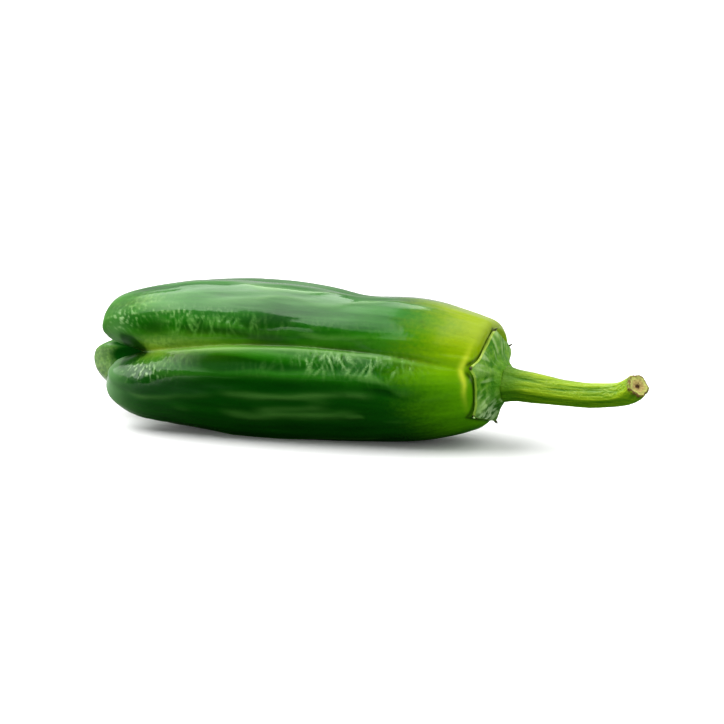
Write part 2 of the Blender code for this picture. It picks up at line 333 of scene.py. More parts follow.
@dataclass(frozen=True)
class PodForm:
    """The form of the pod, from the same named values as its solid."""

    crest: tuple[tuple[float, float], ...] = (
        (2.4, 0), (2.4, 3.5), (1.95, 6.2), (1.6, 7.2), (1.75, 7.9), (2.3, 8.5), (3.5, 9.05), (5.2, 9.65),
        (7.4, 10.3), (11.0, 11.05), (17.2, 11.7), (23.8, 12.1), (30.1, 12.4), (36.5, 12.6), (43.0, 12.5),
        (49.3, 12.0), (55.7, 11.15), (60.0, 10.3), (63.4, 9.0), (65.5, 7.6), (66.3, 6.1), (66.4, 4.7),
        (65.8, 3.5), (64.3, 2.6), (62.2, 1.9), (60.2, 1.1), (59.4, 0),
    )
    furrow: tuple[tuple[float, float], ...] = (
        (2.4, 0), (2.4, 3.5), (1.95, 6.2), (1.65, 7.1), (1.9, 7.7), (2.6, 8.2), (3.8, 8.65), (5.4, 9.15),
        (7.5, 9.6), (11.0, 10.0), (17.2, 10.1), (23.8, 9.9), (30.1, 9.8), (36.5, 9.75), (43.0, 9.5),
        (49.0, 8.8), (54.6, 7.6), (57.4, 6.4), (58.9, 5.2), (59.6, 4.2), (60.0, 3.5), (60.2, 2.9),
        (60.15, 2.3), (59.95, 1.7), (59.7, 1.1), (59.5, 0.5), (59.4, 0),
    )
    lobes: tuple[Lobe, ...] = (Lobe(80.0, -1.2), Lobe(-54.0, -3.0), Lobe(222.0, 4.5))
    lobe_span: float = 120.0
    furrows: tuple[Furrow, ...] = (
        Furrow(12.5, 14.2, 1.0, 0.43), Furrow(149.0, -6.0, 0.75, 0.0), Furrow(266.0, -9.0, 0.22, 0.18),
    )
    furrow_reach: float = 62.0
    furrow_power: float = 2.1
    crease_share: float = 0.2
    crease_width: float = 7.0
    crease_round: float = 1.5
    full_depth: tuple[float, float] = (48.0, 61.0)
    reach_ramp: tuple[float, float] = (36.0, 64.0)
    dimple_radius: float = 4.0
    swellings: tuple[Patch, ...] = (
        Patch(22.5, 101.0, -1.05, 4.0, 17.0),
        Patch(34.0, 96.0, -0.5, 9.5, 5.5),
        Patch(39.0, 113.0, 0.85, 11.5, 9.0),
        Patch(7.0, 94.0, -0.4, 4.0, 25.0),
        Patch(60.5, -66.0, 1.6, 5.5, 22.0),
        Patch(69.5, 226.0, 3.0, 4.2, 30.0),
        Patch(63.5, 78.0, 0.35, 3.0, 30.0),
        Patch(52.0, 88.0, 0.35, 7.0, 14.0),
        Patch(49.5, -74.0, -0.4, 4.0, 20.0),
        Patch(45.0, 62.0, 0.25, 8.0, 12.0),
        Patch(30.0, -1.0, 0.45, 17.0, 5.5),
        Patch(52.0, -8.0, 0.3, 6.0, 11.0),
        Patch(40.0, 45.0, -0.25, 12.0, 9.0),
        Patch(26.0, -38.0, -0.25, 8.0, 9.0),
        Patch(38.0, 182.0, 0.3, 9.0, 12.0),
        Patch(20.0, 218.0, -0.35, 6.0, 12.0),
        Patch(29.0, 264.0, 0.3, 14.0, 14.0),
    )
    seat_turn_front: float = 0.1
    seat_turn_up: float = 0.07
    seat_turn_length: float = 22.0
    seat_stations: int = 4
    rest_depth: float = 11.6

    def outline(self, t: np.ndarray) -> tuple[list[np.ndarray], float]:
        """Reads both outlines.

        Args:
            t: place along them, from 0 at the seat to 1 at the dimple.

        Returns:
            The crest's u and radius and the furrow's u and radius, and the crest outline's length.
        """
        crest, furrow = np.array(self.crest, float), np.array(self.furrow, float)
        along, length = shares_along(crest)
        columns = [table[:, k] for table in (crest, furrow) for k in (0, 1)]
        return [SmoothCurve(along, tuple(column)).at(t) for column in columns], length

    def crease_off(self, u: np.ndarray, angle: np.ndarray, furrow: Furrow) -> np.ndarray:
        """Gives the signed angle from the bottom of a furrow, which is positive above the front one."""
        swing = np.sin(math.pi * np.clip(u / self.full_depth[1], 0.0, 1.0))
        return turn_between(angle, furrow.angle + furrow.swing * swing)

    def front_off(self, surface: PodSurface) -> np.ndarray:
        """Gives the signed angle from the bottom of the front furrow."""
        return self.crease_off(surface.u, surface.angle, self.furrows[0])

    def furrow_weight(self, u: np.ndarray, angle: np.ndarray) -> np.ndarray:
        """Gives how much of a full furrow there is.

        Args:
            u: distance from the seat on the crest outline, in mm.
            angle: angle round the pod.

        Returns:
            0 on the crest of a lobe, 1 at the bottom of a full furrow.
        """
        to_tip = smooth_step(*self.full_depth, u)
        weight = np.zeros_like(u)
        for furrow in self.furrows:
            off = np.abs(self.crease_off(u, angle, furrow))
            off = np.sqrt(off**2 + self.crease_round**2) - self.crease_round
            near = np.clip(1.0 - off / self.furrow_reach, 0.0, 1.0)
            steep = near**self.furrow_power
            valley = steep + (smooth_step(furrow.narrowness, 1.0, near) - steep) * to_tip
            crease = np.exp(-off / self.crease_width)
            share = furrow.depth + (1.0 - furrow.depth) * to_tip
            weight += share * ((1.0 - self.crease_share) * valley + self.crease_share * crease)
        return np.clip(weight, 0.0, 1.0)

    def lobe_reach(self, angle: np.ndarray) -> np.ndarray:
        """Blends the extra length of the lobe tips round the pod.

        Args:
            angle: angle round the pod.

        Returns:
            The extra length in mm.
        """
        off = [np.abs(turn_between(angle, lobe.angle)) for lobe in self.lobes]
        near = [1.0 - smooth_step(0.0, self.lobe_span, turn) for turn in off]
        return sum(share * lobe.reach for share, lobe in zip(near, self.lobes)) / sum(near)

    def surface(self, t: np.ndarray, angle: np.ndarray) -> PodSurface:
        """Gives the surface before its wrinkles.

        Args:
            t: place along the outline, from 0 at the seat to 1 at the dimple.
            angle: angle round the pod.

        Returns:
            The surface's numbers at each place.
        """
        (crest_u, crest_r, furrow_u, furrow_r), length = self.outline(t)
        weight = self.furrow_weight(crest_u, angle)
        u = crest_u + (furrow_u - crest_u) * weight
        r = crest_r + (furrow_r - crest_r) * weight
        inside = np.clip(r / self.dimple_radius, 0.0, 1.0)
        u = u + self.lobe_reach(angle) * smooth_step(*self.reach_ramp, crest_u) * inside
        r = r + sum(patch.at(u, angle) for patch in self.swellings) * inside
        return PodSurface(u=u, r=r, angle=angle, weight=weight, along=t * length)

    def place(self, u: np.ndarray, r: np.ndarray, angle: np.ndarray) -> np.ndarray:
        """Gives the places in space, with the seat at X = 0 and the flat that the pod lies on.

        Args:
            u: distance from the seat in mm.
            r: distance from the axis in mm.
            angle: angle round the pod.

        Returns:
            Points in mm.
        """
        y, z = around(r, angle)
        near = 1.0 - smooth_step(0.0, self.seat_turn_length, u)
        x = -u + near * (self.seat_turn_front * y + self.seat_turn_up * z)
        return np.stack([x, y, np.maximum(z, -self.rest_depth)], axis=1)

    def seat_height(self, r: np.ndarray | float, lip: float) -> np.ndarray:
        """Gives how far the seat lies below X = 0.

        Args:
            r: distance from the axis in mm.
            lip: the radius of the seat's lip in mm.

        Returns:
            The depth in mm.
        """
        stations = [(rho, u) for u, rho in self.crest if rho <= lip][:self.seat_stations]
        rhos, depths = zip(*stations)
        return SmoothCurve(rhos, depths).at(np.clip(r, 0.0, lip))


@dataclass(frozen=True)
class Seam:
    """A thin line along the pod, such as a raised one with a groove under it."""

    path: tuple[tuple[float, float], ...]
    height: float
    half_width: float
    groove: float = 0.0
    fade: float = 4.0
    groove_off: ClassVar[float] = -2.0

    def at(self, surface: PodSurface, sway: np.ndarray | float) -> np.ndarray:
        """Reads the line.

        Args:
            surface: the surface before its wrinkles.
            sway: how far the line strays from its path, in mm.

        Returns:
            Heights in mm.
        """
        us, middles = zip(*sorted(self.path))
        middle = SmoothCurve(us, middles).at(np.clip(surface.u, us[0], us[-1]))
        off = np.radians(turn_between(surface.angle, middle)) * surface.r - sway
        ends = smooth_step(us[0] - self.fade, us[0], surface.u)
        ends = ends * (1.0 - smooth_step(us[-1], us[-1] + self.fade, surface.u))
        line = self.height * bell(off, 0.0, self.half_width)
        return ends * (line - self.groove * bell(off, self.groove_off * self.half_width, self.half_width))


@dataclass
class Relief:
    """The fine relief at each vertex: its height in mm, and values from 0 to 1 for the material by name."""

    height: np.ndarray
    fields: dict[str, np.ndarray]


@dataclass(frozen=True)
class Wrinkles:
    """The fine relief of the skin: long ribs and seams, and cross strokes where the skin has shrunk.

    The tables of patches say where the skin is wrinkled or frosted with raised strokes and flecks, whose tops
    are painted paler as highlights, where it is dented or without gloss, where flecks glint, and where its
    colour is darker with painted shading (and two real dark specks), yellower with a mottling that is partly
    painted light, or greyed by a painted sheen.
    """

    lumps: Grain = Grain(11, 8.0, 11, 0.13)
    ribs: Grain = Grain(12, 17.0, 34, 0.095)
    threads: Grain = Grain(13, 9.0, 92, 0.035)
    knobs: Grain = Grain(18, 0.85, 84, 0.045)
    warp: Grain = Grain(16, 4.0, 20, 0.7)
    sway: Grain = Grain(17, 6.0, 9, 0.5)
    strokes: Grain = Grain(14, 0.75, 30)
    cross_strokes: Grain = Grain(19, 0.75, 30)
    stroke_ramp: Span = (0.0, 0.6)
    stroke_lean: float = 4.5
    lean_centre: float = 12.0
    stroke_height: float = 0.12
    gaps: Grain = Grain(20, 2.4, 24)
    gap_ramp: Span = (-0.3, 0.3)
    gap_share: float = 0.5
    flecks: Grain = Grain(15, 0.6, 100)
    fleck_ramp: Span = (0.1, 0.5)
    fleck_height: float = 0.09
    sink: float = 0.3
    everywhere: float = 0.08
    # Raised cross strokes, whose tops the finish paints paler as highlights.
    zones: tuple[Patch, ...] = (
        Patch(51.5, 38.5, 0.55, 2.5, 5.5),
        Patch(46.0, 38.0, 0.65, 4.0, 6.0),
        Patch(40.0, 41.0, 0.45, 5.0, 5.0),
        Patch(24.0, 43.0, 0.25, 7.0, 4.0),
        Patch(51.0, 8.0, 0.5, 3.0, 6.0),
        Patch(37.0, 5.0, 0.35, 3.5, 4.0),
        Patch(27.0, 12.0, 0.9, 2.5, 7.5),
        Patch(21.0, 12.0, 0.9, 5.0, 7.5),
        Patch(14.0, 10.0, 0.75, 4.0, 7.0),
        Patch(42.0, 150.0, 0.6, 10.0, 10.0),
        Patch(20.0, 205.0, 0.5, 8.0, 12.0),
        Patch(52.0, 262.0, 0.5, 7.0, 10.0),
    )
    # Raised round flecks, whose tops the finish paints paler as highlights.
    frosted: tuple[Patch, ...] = (
        Patch(60.0, 44.0, 1.0, 2.2, 7.0),
        Patch(51.5, 46.5, 0.9, 3.2, 4.0),
        Patch(57.5, 60.0, 0.35, 3.0, 9.0),
        Patch(55.0, -5.0, 1.0, 3.2, 5.0),
        Patch(58.5, -12.0, 0.8, 2.0, 5.0),
        Patch(44.5, 48.0, 0.4, 4.0, 3.0),
        Patch(63.0, 222.0, 0.4, 6.0, 40.0),
    )
    dents: tuple[Patch, ...] = (
        Patch(41.0, 7.0, -0.35, 6.5, 5.0),
        Patch(41.5, 20.5, 0.22, 6.0, 4.5),
        Patch(45.0, 38.0, -0.24, 4.0, 6.0),
        Patch(34.5, 38.0, -0.24, 3.5, 6.0),
    )
    dull: tuple[Patch, ...] = (
        Patch(36.5, 8.0, 0.95, 9.0, 11.0),
        Patch(20.0, 9.0, 0.65, 8.5, 9.0),
        Patch(64.0, 60.0, 0.5, 3.5, 30.0),
        Patch(54.0, 68.0, 0.32, 8.0, 20.0),
        Patch(17.5, 58.0, 0.6, 5.0, 16.0),
        Patch(3.0, 45.0, 0.7, 4.5, 60.0),
        Patch(61.0, 46.0, 0.5, 4.0, 20.0),
        Patch(62.0, -15.0, 0.6, 3.0, 20.0),
        Patch(62.5, 50.0, 0.75, 2.5, 12.0),
        Patch(54.8, 37.0, 0.7, 2.2, 5.0),
        Patch(42.0, 6.0, 0.6, 5.0, 8.0),
        Patch(30.0, 37.0, 0.8, 15.0, 4.5),
        Patch(49.0, 34.0, 0.6, 6.0, 5.0),
    )
    glints: tuple[Patch, ...] = (
        Patch(61.0, 46.0, 1.0, 1.8, 8.0),
        Patch(57.0, -5.0, 1.0, 2.6, 6.0),
        Patch(46.0, 50.0, 0.5, 7.0, 4.0),
        Patch(24.0, 15.0, 0.7, 7.0, 6.0),
    )
    # Painted shading: dark patches under the ridge, in the band, on the wall and near the tips; the last two
    # are small real dark specks near the shoulder.
    shade: tuple[Patch, ...] = (
        Patch(34.0, -6.5, 1.0, 12.0, 5.2),
        Patch(50.0, -15.0, 0.95, 6.0, 5.5),
        Patch(56.5, -18.0, 0.6, 2.6, 6.0),
        Patch(40.0, -24.0, 0.45, 14.0, 4.0),
        Patch(54.8, 37.5, 0.85, 1.7, 4.5),
        Patch(42.0, 7.5, 0.85, 7.0, 6.0),
        Patch(62.5, 50.0, 0.3, 2.5, 12.0),
        Patch(23.0, 10.5, 0.4, 8.0, 6.0),
        Patch(44.0, 36.0, 0.35, 5.0, 4.0),
        Patch(29.5, 39.0, 0.6, 6.5, 3.5),
        Patch(11.2, 56.0, 0.6, 0.3, 1.4),
        Patch(10.7, 51.0, 0.5, 0.25, 1.2),
    )
    # Paler yellow-green mottling: partly the skin's own on the wall, partly painted light where the lobe tips
    # are lit.
    blush: tuple[Patch, ...] = (
        Patch(55.0, 21.0, 0.75, 3.2, 6.0),
        Patch(57.0, 9.0, 0.6, 3.0, 7.0),
        Patch(50.0, 22.0, 0.35, 4.0, 6.0),
        Patch(65.5, 75.0, 0.3, 3.0, 50.0),
        Patch(62.5, -70.0, 0.4, 3.0, 15.0),
        Patch(57.8, 61.0, 0.4, 2.4, 7.0),
        Patch(17.5, 35.0, 0.15, 3.5, 4.0),
        Patch(68.5, 215.0, 0.6, 3.0, 60.0),
    )
    # Painted sheen: pale grey-green laid on the lobe tips where the light catches them.
    bloom: tuple[Patch, ...] = (
        Patch(63.0, -33.0, 0.5, 1.9, 15.0),
        Patch(60.5, -14.0, 0.25, 2.5, 7.0),
        Patch(62.2, 36.0, 0.4, 1.7, 7.0),
    )
    # Painted shading in the hollow between the lobe tips, in the inner pit and along the notch's lips.
    hollow: Patch = Patch(60.0, 13.0, 1.2, 1.7, 10.0)
    inner_hollow: Patch = Patch(63.3, 190.0, 1.0, 1.6, 25.0)
    inner_ramp: Span = (5.0, 3.5)
    most_hollow: float = 0.85
    hollows: tuple[Seam, ...] = (
        Seam(((57.8, 19.0), (58.6, 25.0), (60.0, 29.0), (61.0, 31.0)), 0.8, 0.45, 0.0, 1.0),
        Seam(((57.8, 8.0), (58.4, 2.0), (59.4, -3.0), (60.8, -8.0)), 0.8, 0.4, 0.0, 1.0),
    )
    seams: tuple[Seam, ...] = (
        Seam(((51.0, -6.2), (45.0, -2.5), (40.0, -1.0), (36.0, 0.5), (30.8, 2.2), (25.5, 2.8), (20.2, 3.6),
              (16.4, 0.2), (12.9, -8.0)), 0.15, 0.8, 0.1),
        Seam(((44.0, 38.5), (29.0, 35.5), (21.8, 33.8)), 0.13, 0.6),
        Seam(((40.7, 78.0), (31.7, 74.0), (25.0, 81.0), (20.0, 84.0)), 0.12, 0.55),
        Seam(((44.4, 58.5), (31.2, 64.0), (27.2, 61.5), (22.4, 67.8), (16.9, 77.0)), 0.09, 0.55),
        Seam(((55.9, -28.8), (46.5, -19.2)), 0.09, 0.45),
        Seam(((40.5, -16.5), (35.3, -16.5), (28.2, -13.0), (20.2, -11.5)), 0.09, 0.6),
        Seam(((40.0, -33.0), (31.5, -32.5), (23.0, -30.8)), 0.12, 0.8),
        Seam(((34.5, -27.2), (27.8, -24.5)), 0.06, 0.5),
        Seam(((21.3, -12.8), (19.6, -12.2)), 0.1, 0.35, 0.0, 1.2),
        Seam(((21.6, -33.0), (20.2, -32.0)), 0.08, 0.35, 0.0, 1.2),
        Seam(((50.0, 118.0), (30.0, 124.0), (14.0, 121.0)), 0.14, 0.6, 0.08),
        Seam(((46.0, 176.0), (18.0, 172.0)), 0.14, 0.6),
        Seam(((58.0, 203.0), (36.0, 199.0), (24.0, 206.0)), 0.12, 0.5),
        Seam(((44.0, 236.0), (12.0, 241.0)), 0.13, 0.6, 0.08),
        Seam(((52.0, 291.0), (20.0, 297.0)), 0.12, 0.5),
    )
    crease_depth: float = 0.2
    crease_width: float = 1.5
    crease_lip: float = 0.1
    crease_start: Span = (3.0, 12.0)
    lip_place: float = -3.4
    lip_width: float = 1.7
    past_middle: Span = (2.5, 6.0)
    past_lip: Span = (6.8, 8.6)
    past_shoulder: Span = (20.0, 30.0)
    relief_gain: float = 2.0

    def marks(self, along: np.ndarray, angle: np.ndarray) -> np.ndarray:
        """Reads the cross strokes, which lean both ways and leave gaps.

        Args:
            along: distance along the sheet in mm.
            angle: angle round the pod.

        Returns:
            0 between the strokes, 1 on them.
        """
        turn = angle / 360.0
        lean = self.stroke_lean * np.sin(np.radians(angle - self.lean_centre))
        one = self.strokes.at(np.maximum(along + lean, 0.0), turn)
        other = self.cross_strokes.at(np.maximum(along - lean, 0.0), turn)
        present = smooth_step(*self.gap_ramp, self.gaps.at(along, turn))
        return smooth_step(*self.stroke_ramp, np.maximum(one, other)) * (
            1.0 - self.gap_share + self.gap_share * present
        )

    def crease(self, form: PodForm, surface: PodSurface) -> np.ndarray:
        """Gives the sharp bottom of the front furrow and the low lip below it.

        Args:
            form: the pod's form.
            surface: the surface before its wrinkles.

        Returns:
            Heights in mm.
        """
        off = form.front_off(surface)
        crease = self.crease_lip * bell(off, self.lip_place, self.lip_width)
        crease -= self.crease_depth * np.exp(-np.abs(off) / self.crease_width)
        return crease * smooth_step(*self.crease_start, surface.u)

    def presence(self, surface: PodSurface) -> np.ndarray:
        """Gives how much relief there is: none at the middles of both ends and under the rim of the cap."""
        clear = smooth_step(*self.past_lip, surface.r) + smooth_step(*self.past_shoulder, surface.u)
        return np.clip(clear, 0.0, 1.0) * smooth_step(*self.past_middle, surface.r)

    def tints(self, surface: PodSurface) -> dict[str, np.ndarray]:
        """Reads the tables that change the finish alone.

        Args:
            surface: the surface before its wrinkles.

        Returns:
            Values from 0 to 1 at each vertex, by name.
        """
        # Painted light among these: part of the mottling, the sheen of the tips, the glints and the shading.
        tables = {
            "blush": self.blush,
            "bloom": self.bloom,
            "glint": self.glints,
            "shade": self.shade,
            "dull": self.dull,
        }
        fields = {name: coverage(patches, surface.u, surface.angle) for name, patches in tables.items()}
        # Painted shading in the hollow between the lobe tips.
        hollow = self.hollow.at(surface.u, surface.angle)
        hollow += self.inner_hollow.at(surface.u, surface.angle) * smooth_step(*self.inner_ramp, surface.r)
        hollow += sum(line.at(surface, 0.0) for line in self.hollows)
        return fields | {"hollow": np.clip(hollow, 0.0, self.most_hollow)}

    def relief(self, form: PodForm, surface: PodSurface) -> Relief:
        """Works out the relief.

        Args:
            form: the pod's form.
            surface: the surface before its wrinkles.

        Returns:
            The relief at each vertex.
        """
        turn = surface.angle / 360.0
        along = surface.along + self.warp.at(surface.along, turn)
        zone, frost = (coverage(patches, surface.u, surface.angle) for patches in (self.zones, self.frosted))
        wrinkled = self.everywhere + (1.0 - self.everywhere) * np.maximum(zone, frost)
        stroke = self.marks(along, surface.angle)
        fleck = smooth_step(*self.fleck_ramp, self.flecks.at(along, turn))
        sway = self.sway.at(surface.along, turn)
        lines = [seam.at(surface, sway) for seam in self.seams]
        line = sum(np.clip(line / seam.height, 0.0, 1.0) for line, seam in zip(lines, self.seams))
        height = self.lumps.at(surface.along, turn) + self.ribs.at(along, turn) + self.threads.at(along, turn)
        height += wrinkled * self.knobs.at(along, turn)
        height += zone * self.stroke_height * (stroke - self.sink)
        height += frost * self.fleck_height * (fleck - self.sink)
        height += sum(patch.at(surface.u, surface.angle) for patch in self.dents)
        height += sum(lines) + self.crease(form, surface)
        height *= self.presence(surface)
        fields = {
            # Also the mask of the painted shading in the grooves and of the paler ridge tops.
            "relief": np.clip(0.5 + height * self.relief_gain, 0.0, 1.0),
            "wrinkled": wrinkled,
            # Mask of the painted highlights on the tops of the strokes and flecks.
            "fleck": np.clip(zone * stroke + frost * fleck, 0.0, 1.0),
            # Mask of the painted highlight streaks along the raised lines.
            "line": np.clip(line, 0.0, 1.0),
        }
        return Relief(height, fields | self.tints(surface))


@dataclass
class Pod:
    """The pod's skin."""

    form: PodForm
    wrinkles: Wrinkles
    segments: int = 264
    rings: int = 376
    hidden_share: float = 0.02
    hidden_outline: float = 0.07
    sample_rings: int = 200
    sample_segments: int = 241
    tint_length: float = 70.0
    crease_reach: float = 6.0
    # Where the painted highlight on the front crease's lower lip goes.
    edge_place: float = -3.4
    edge_width: float = 2.0
    edge_start: Span = (4.0, 12.0)
    # Where the painted shading of the pit and the notch goes.
    pit_ramp: Span = (0.928, 0.95)
    notch_ramp: Span = (0.3, 0.6)
    notch_outline: Span = (0.88, 0.91)
    # Where the painted highlight on the pod's lip beside the cap goes.
    lip_radius: float = 8.64
    lip_width: float = 0.18
    lip_end: Span = (3.2, 5.0)
    lip_angle: float = 7.0
    lip_span: float = 26.0
    seat_shadow_place: float = 0.05
    seat_shadow_width: float = 0.24
    seat_shadow_end: Span = (2.6, 3.3)

    def shift(self) -> np.ndarray:
        """Finds the place of the pod's own zero among the solids.

        Returns:
            X, Y and Z in mm.
        """
        t, angle = np.meshgrid(
            np.linspace(0.0, 1.0, self.sample_rings), np.linspace(-180.0, 180.0, self.sample_segments),
        )
        bare = self.form.surface(t.ravel(), angle.ravel())
        points = self.form.place(bare.u, bare.r, bare.angle)
        low, high = box_in_mm(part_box("pod"))
        return (low + high) / 2.0 - (points.min(axis=0) + points.max(axis=0)) / 2.0

    def seat_shadow(self, calyx: "Calyx", surface: PodSurface) -> np.ndarray:
        """Gives the dark line under the edge of the cap.

        Args:
            calyx: the cap.
            surface: the pod's surface before its wrinkles.

        Returns:
            1 under the edge, 0 away from it.
        """
        y, z = around(surface.r, surface.angle)
        z = z + calyx.drop
        edge, _, _ = calyx.edge(np.degrees(np.arctan2(z, -y)))
        line = bell(np.hypot(y, z) - edge, self.seat_shadow_place, self.seat_shadow_width)
        return line * (1.0 - smooth_step(*self.seat_shadow_end, surface.u))

    def places(self, calyx: "Calyx", surface: PodSurface, t: np.ndarray) -> dict[str, np.ndarray]:
        """Tells the finish where on the pod it is.

        Args:
            calyx: the cap.
            surface: the surface before its wrinkles.
            t: place along the outline.

        Returns:
            Values from 0 to 1 at each vertex, by name.
        """
        front = self.form.front_off(surface)
        pit = smooth_step(*self.pit_ramp, t)
        notch = smooth_step(*self.notch_ramp, surface.weight) * smooth_step(*self.notch_outline, t)
        lip = bell(surface.r, self.lip_radius, self.lip_width) * (1.0 - smooth_step(*self.lip_end, surface.u))
        return {
            "along": surface.u / self.tint_length,
            "crease": np.exp(-np.abs(front) / self.crease_reach),
            # Mask of the painted highlight on the crease's lower lip.
            "edge": bell(front, self.edge_place, self.edge_width) * smooth_step(*self.edge_start, surface.u),
            "upward": 0.5 + 0.5 * np.sin(np.radians(surface.angle)),
            # Mask of the painted shading in the pit and the notch.
            "pit": np.maximum(pit, notch),
            # Mask of the painted shadow under the cap's edge.
            "seat": self.seat_shadow(calyx, surface),
            # Mask of the painted highlight on the lip beside the cap.
            "lip": lip * bell(turn_between(surface.angle, self.lip_angle), 0.0, self.lip_span),
        }

    def build(self, calyx: "Calyx") -> bpy.types.Object:
        """Makes the pod with its wrinkles.

        Args:
            calyx: the cap that sits on it.

        Returns:
            The pod.
        """
        sheet = Sheet(self.segments, self.rings)
        t = np.interp(sheet.down, [0.0, self.hidden_share, 1.0], [0.0, self.hidden_outline, 1.0])
        surface = self.form.surface(t, sheet.angle)
        relief = self.wrinkles.relief(self.form, surface)
        points = self.form.place(surface.u, surface.r + relief.height, sheet.angle) + self.shift()
        points = np.clip(points, *box_in_mm(cad_bounds))
        return sheet.finish("pod_skin", points, relief.fields | self.places(calyx, surface, t))


# The calyx

@dataclass(frozen=True)
class Corner:
    """A corner of the cap: its angle, its distance from the middle and its lift from the pod."""

    angle: float
    reach: float
    lift: float


@dataclass
class Calyx:
    """The six-cornered cap between the pod and the stalk."""

    form: PodForm
    shift: np.ndarray
    corners: tuple[Corner, ...] = (
        Corner(19.0, 8.9, -0.8),
        Corner(82.0, 7.85, 0.1),
        Corner(150.0, 7.3, -0.2),
        Corner(205.0, 7.5, 0.1),
        Corner(256.0, 7.9, 0.1),
        Corner(321.0, 8.5, -0.35),
    )
    edge_dip: float = 1.3
    edge_flatness: float = 0.8
    edge_sharpness: float = 14.0
    edge_thickness: float = 0.12
    thickness: float = 0.5
    bead_place: float = 0.987
    bead_width: float = 0.008
    bead_height: float = 0.09
    # Where the painted highlight along the cap's edge goes.
    rim_ramp: Span = (0.98, 0.993)
    drop: float = 0.4
    dome: float = 0.9
    ridge: float = 0.7
    ridge_sharpness: float = 4.0
    tip_sharpness: float = 8.0
    lip_radius: float = 7.2
    gap: float = 0.12
    boss_radius: float = 2.75
    boss_height: float = 0.45
    boss_fillet: float = 2.2
    core_fade: float = 3.0
    stalk_drop: float = 1.35
    collar_radius: float = 2.55
    collar_height: float = 0.6
    collar_width: float = 0.85
    collar_ribs: int = 5
    collar_rib_share: float = 0.3
    segments: int = 240
    rings: int = 101
    crowding: float = 0.8
    pleats: Grain = Grain(21, 6.0, 34, 0.16)
    pleats_fine: Grain = Grain(22, 3.0, 54)
    pleat_fine_height: float = 0.06
    pleat_end: float = 10.0
    pleat_gain: float = 3.0
    pits: Grain = Grain(23, 0.9, 40, 0.05)
    vein_ramp: Span = (0.1, 0.6)
    vein_start: Span = (0.4, 0.6)
    below_angle: float = 288.0
    below_span: float = 32.0
    below_start: Span = (0.3, 0.6)

    def edge(self, angle: np.ndarray) -> tuple[np.ndarray, np.ndarray, np.ndarray]:
        """Gives the outline of the cap.

        Args:
            angle: angle round the cap.

        Returns:
            The distance to the edge in mm, the place between two corners from 0 to 1, and the corners' lift.
        """
        corners = np.array([astuple(corner) for corner in self.corners])
        before = np.searchsorted(corners[:, 0], angle % 360.0, side="right") - 1
        first, last = corners[before], corners[(before + 1) % len(corners)]
        place = ((angle - first[:, 0]) % 360.0) / ((last[:, 0] - first[:, 0]) % 360.0)
        _, reach, lift = (first + (last - first) * place[:, None]).T
        return reach - self.edge_dip * np.sin(math.pi * place) ** self.edge_flatness, place, lift

    def crown(self, share: np.ndarray, at_corner: np.ndarray) -> np.ndarray:
        """Gives the height of the cap's top before its pleats.

        Args:
            share: place from the middle, at 0, to the edge, at 1.
            at_corner: 1 in line with a corner, 0 between two.

        Returns:
            Heights in mm.
        """
        swell = np.clip(1.0 - share**self.edge_sharpness, 0.0, 1.0) ** 0.5
        base = self.gap - self.form.seat_height(self.lip_radius, self.lip_radius)
        top = base + self.dome * (1.0 - share**2)
        top = top + self.edge_thickness + (self.thickness - self.edge_thickness) * swell
        top = top + self.ridge * at_corner**self.ridge_sharpness * share * (1.0 - share**2)
        return top + self.bead_height * bell(share, self.bead_place, self.bead_width)

    def shape(self, angle: np.ndarray, latitude: np.ndarray) -> tuple[np.ndarray, dict[str, np.ndarray]]:
        """Gives the cap's surface.

        Args:
            angle: angle round the cap in degrees.
            latitude: from pi / 2 at the middle of the top, through 0 at the edge, to the middle underneath.

        Returns:
            Points in mm, and values for the material by name.
        """
        edge, place, lift = self.edge(angle)
        share = np.cos(latitude) ** self.crowding
        rho, turn = edge * share, angle / 360.0
        y, z = around(rho, angle)
        z = z - self.drop
        at_corner = np.cos(math.pi * place) ** 2
        corner = (at_corner * share) ** self.tip_sharpness
        fine = self.pleats_fine.at(rho, turn)
        pleat = self.pleats.at(rho, turn) + self.pleat_fine_height * fine
        pleat = pleat * share * (1.0 - share**self.pleat_end) + self.pits.at(rho, turn)
        from_stalk = np.hypot(y, z + self.stalk_drop)
        boss = 1.0 - smooth_step(self.boss_radius, self.boss_radius + self.boss_fillet, from_stalk)
        top = self.crown(share, at_corner)
        top = top + pleat + (self.boss_height - top) * boss
        collar = bell(from_stalk, self.collar_radius, self.collar_width)
        ribs = 1.0 + self.collar_rib_share * np.cos(self.collar_ribs * np.arctan2(z + self.stalk_drop, -y))
        top = top + self.collar_height * collar * ribs
        under = self.gap - self.form.seat_height(np.hypot(y, z), self.lip_radius)
        x = np.where(latitude > 0.0, top, under) + lift * corner
        x = x + self.form.seat_turn_front * y + self.form.seat_turn_up * z
        below = bell(turn_between(angle, self.below_angle), 0.0, self.below_span)
        fields = {
            # Mask of the painted highlight along the cap's edge.
            "rim": smooth_step(*self.rim_ramp, share),
            "ridge": np.clip(at_corner**self.ridge_sharpness * share + pleat * self.pleat_gain, 0.0, 1.0),
            "vein": smooth_step(*self.vein_ramp, fine) * smooth_step(*self.vein_start, share),
            # Mask of the painted shading round the stalk's root.
            "core": 1.0 - smooth_step(self.boss_radius, self.boss_radius + self.core_fade, from_stalk),
            "collar": collar,
            "corner": corner,
            "below": below * smooth_step(*self.below_start, share),
        }
        return np.stack([x, y, z], axis=1) + self.shift, fields

    def build(self) -> bpy.types.Object:
        """Makes the cap with its pleats.

        Returns:
            The cap.
        """
        sheet = Sheet(self.segments, self.rings)
        points, fields = self.shape(sheet.angle, math.pi / 2.0 - sheet.down * math.pi)
        return sheet.finish("calyx_cap", points, fields)


@dataclass(frozen=True)
class Stub:
    """One dried remnant of a sepal at a corner of the cap."""

    angle: float
    length: float
    radius: float
    lean: tuple[float, float, float]
    curl: float = 0.0
    dried: float = 1.0


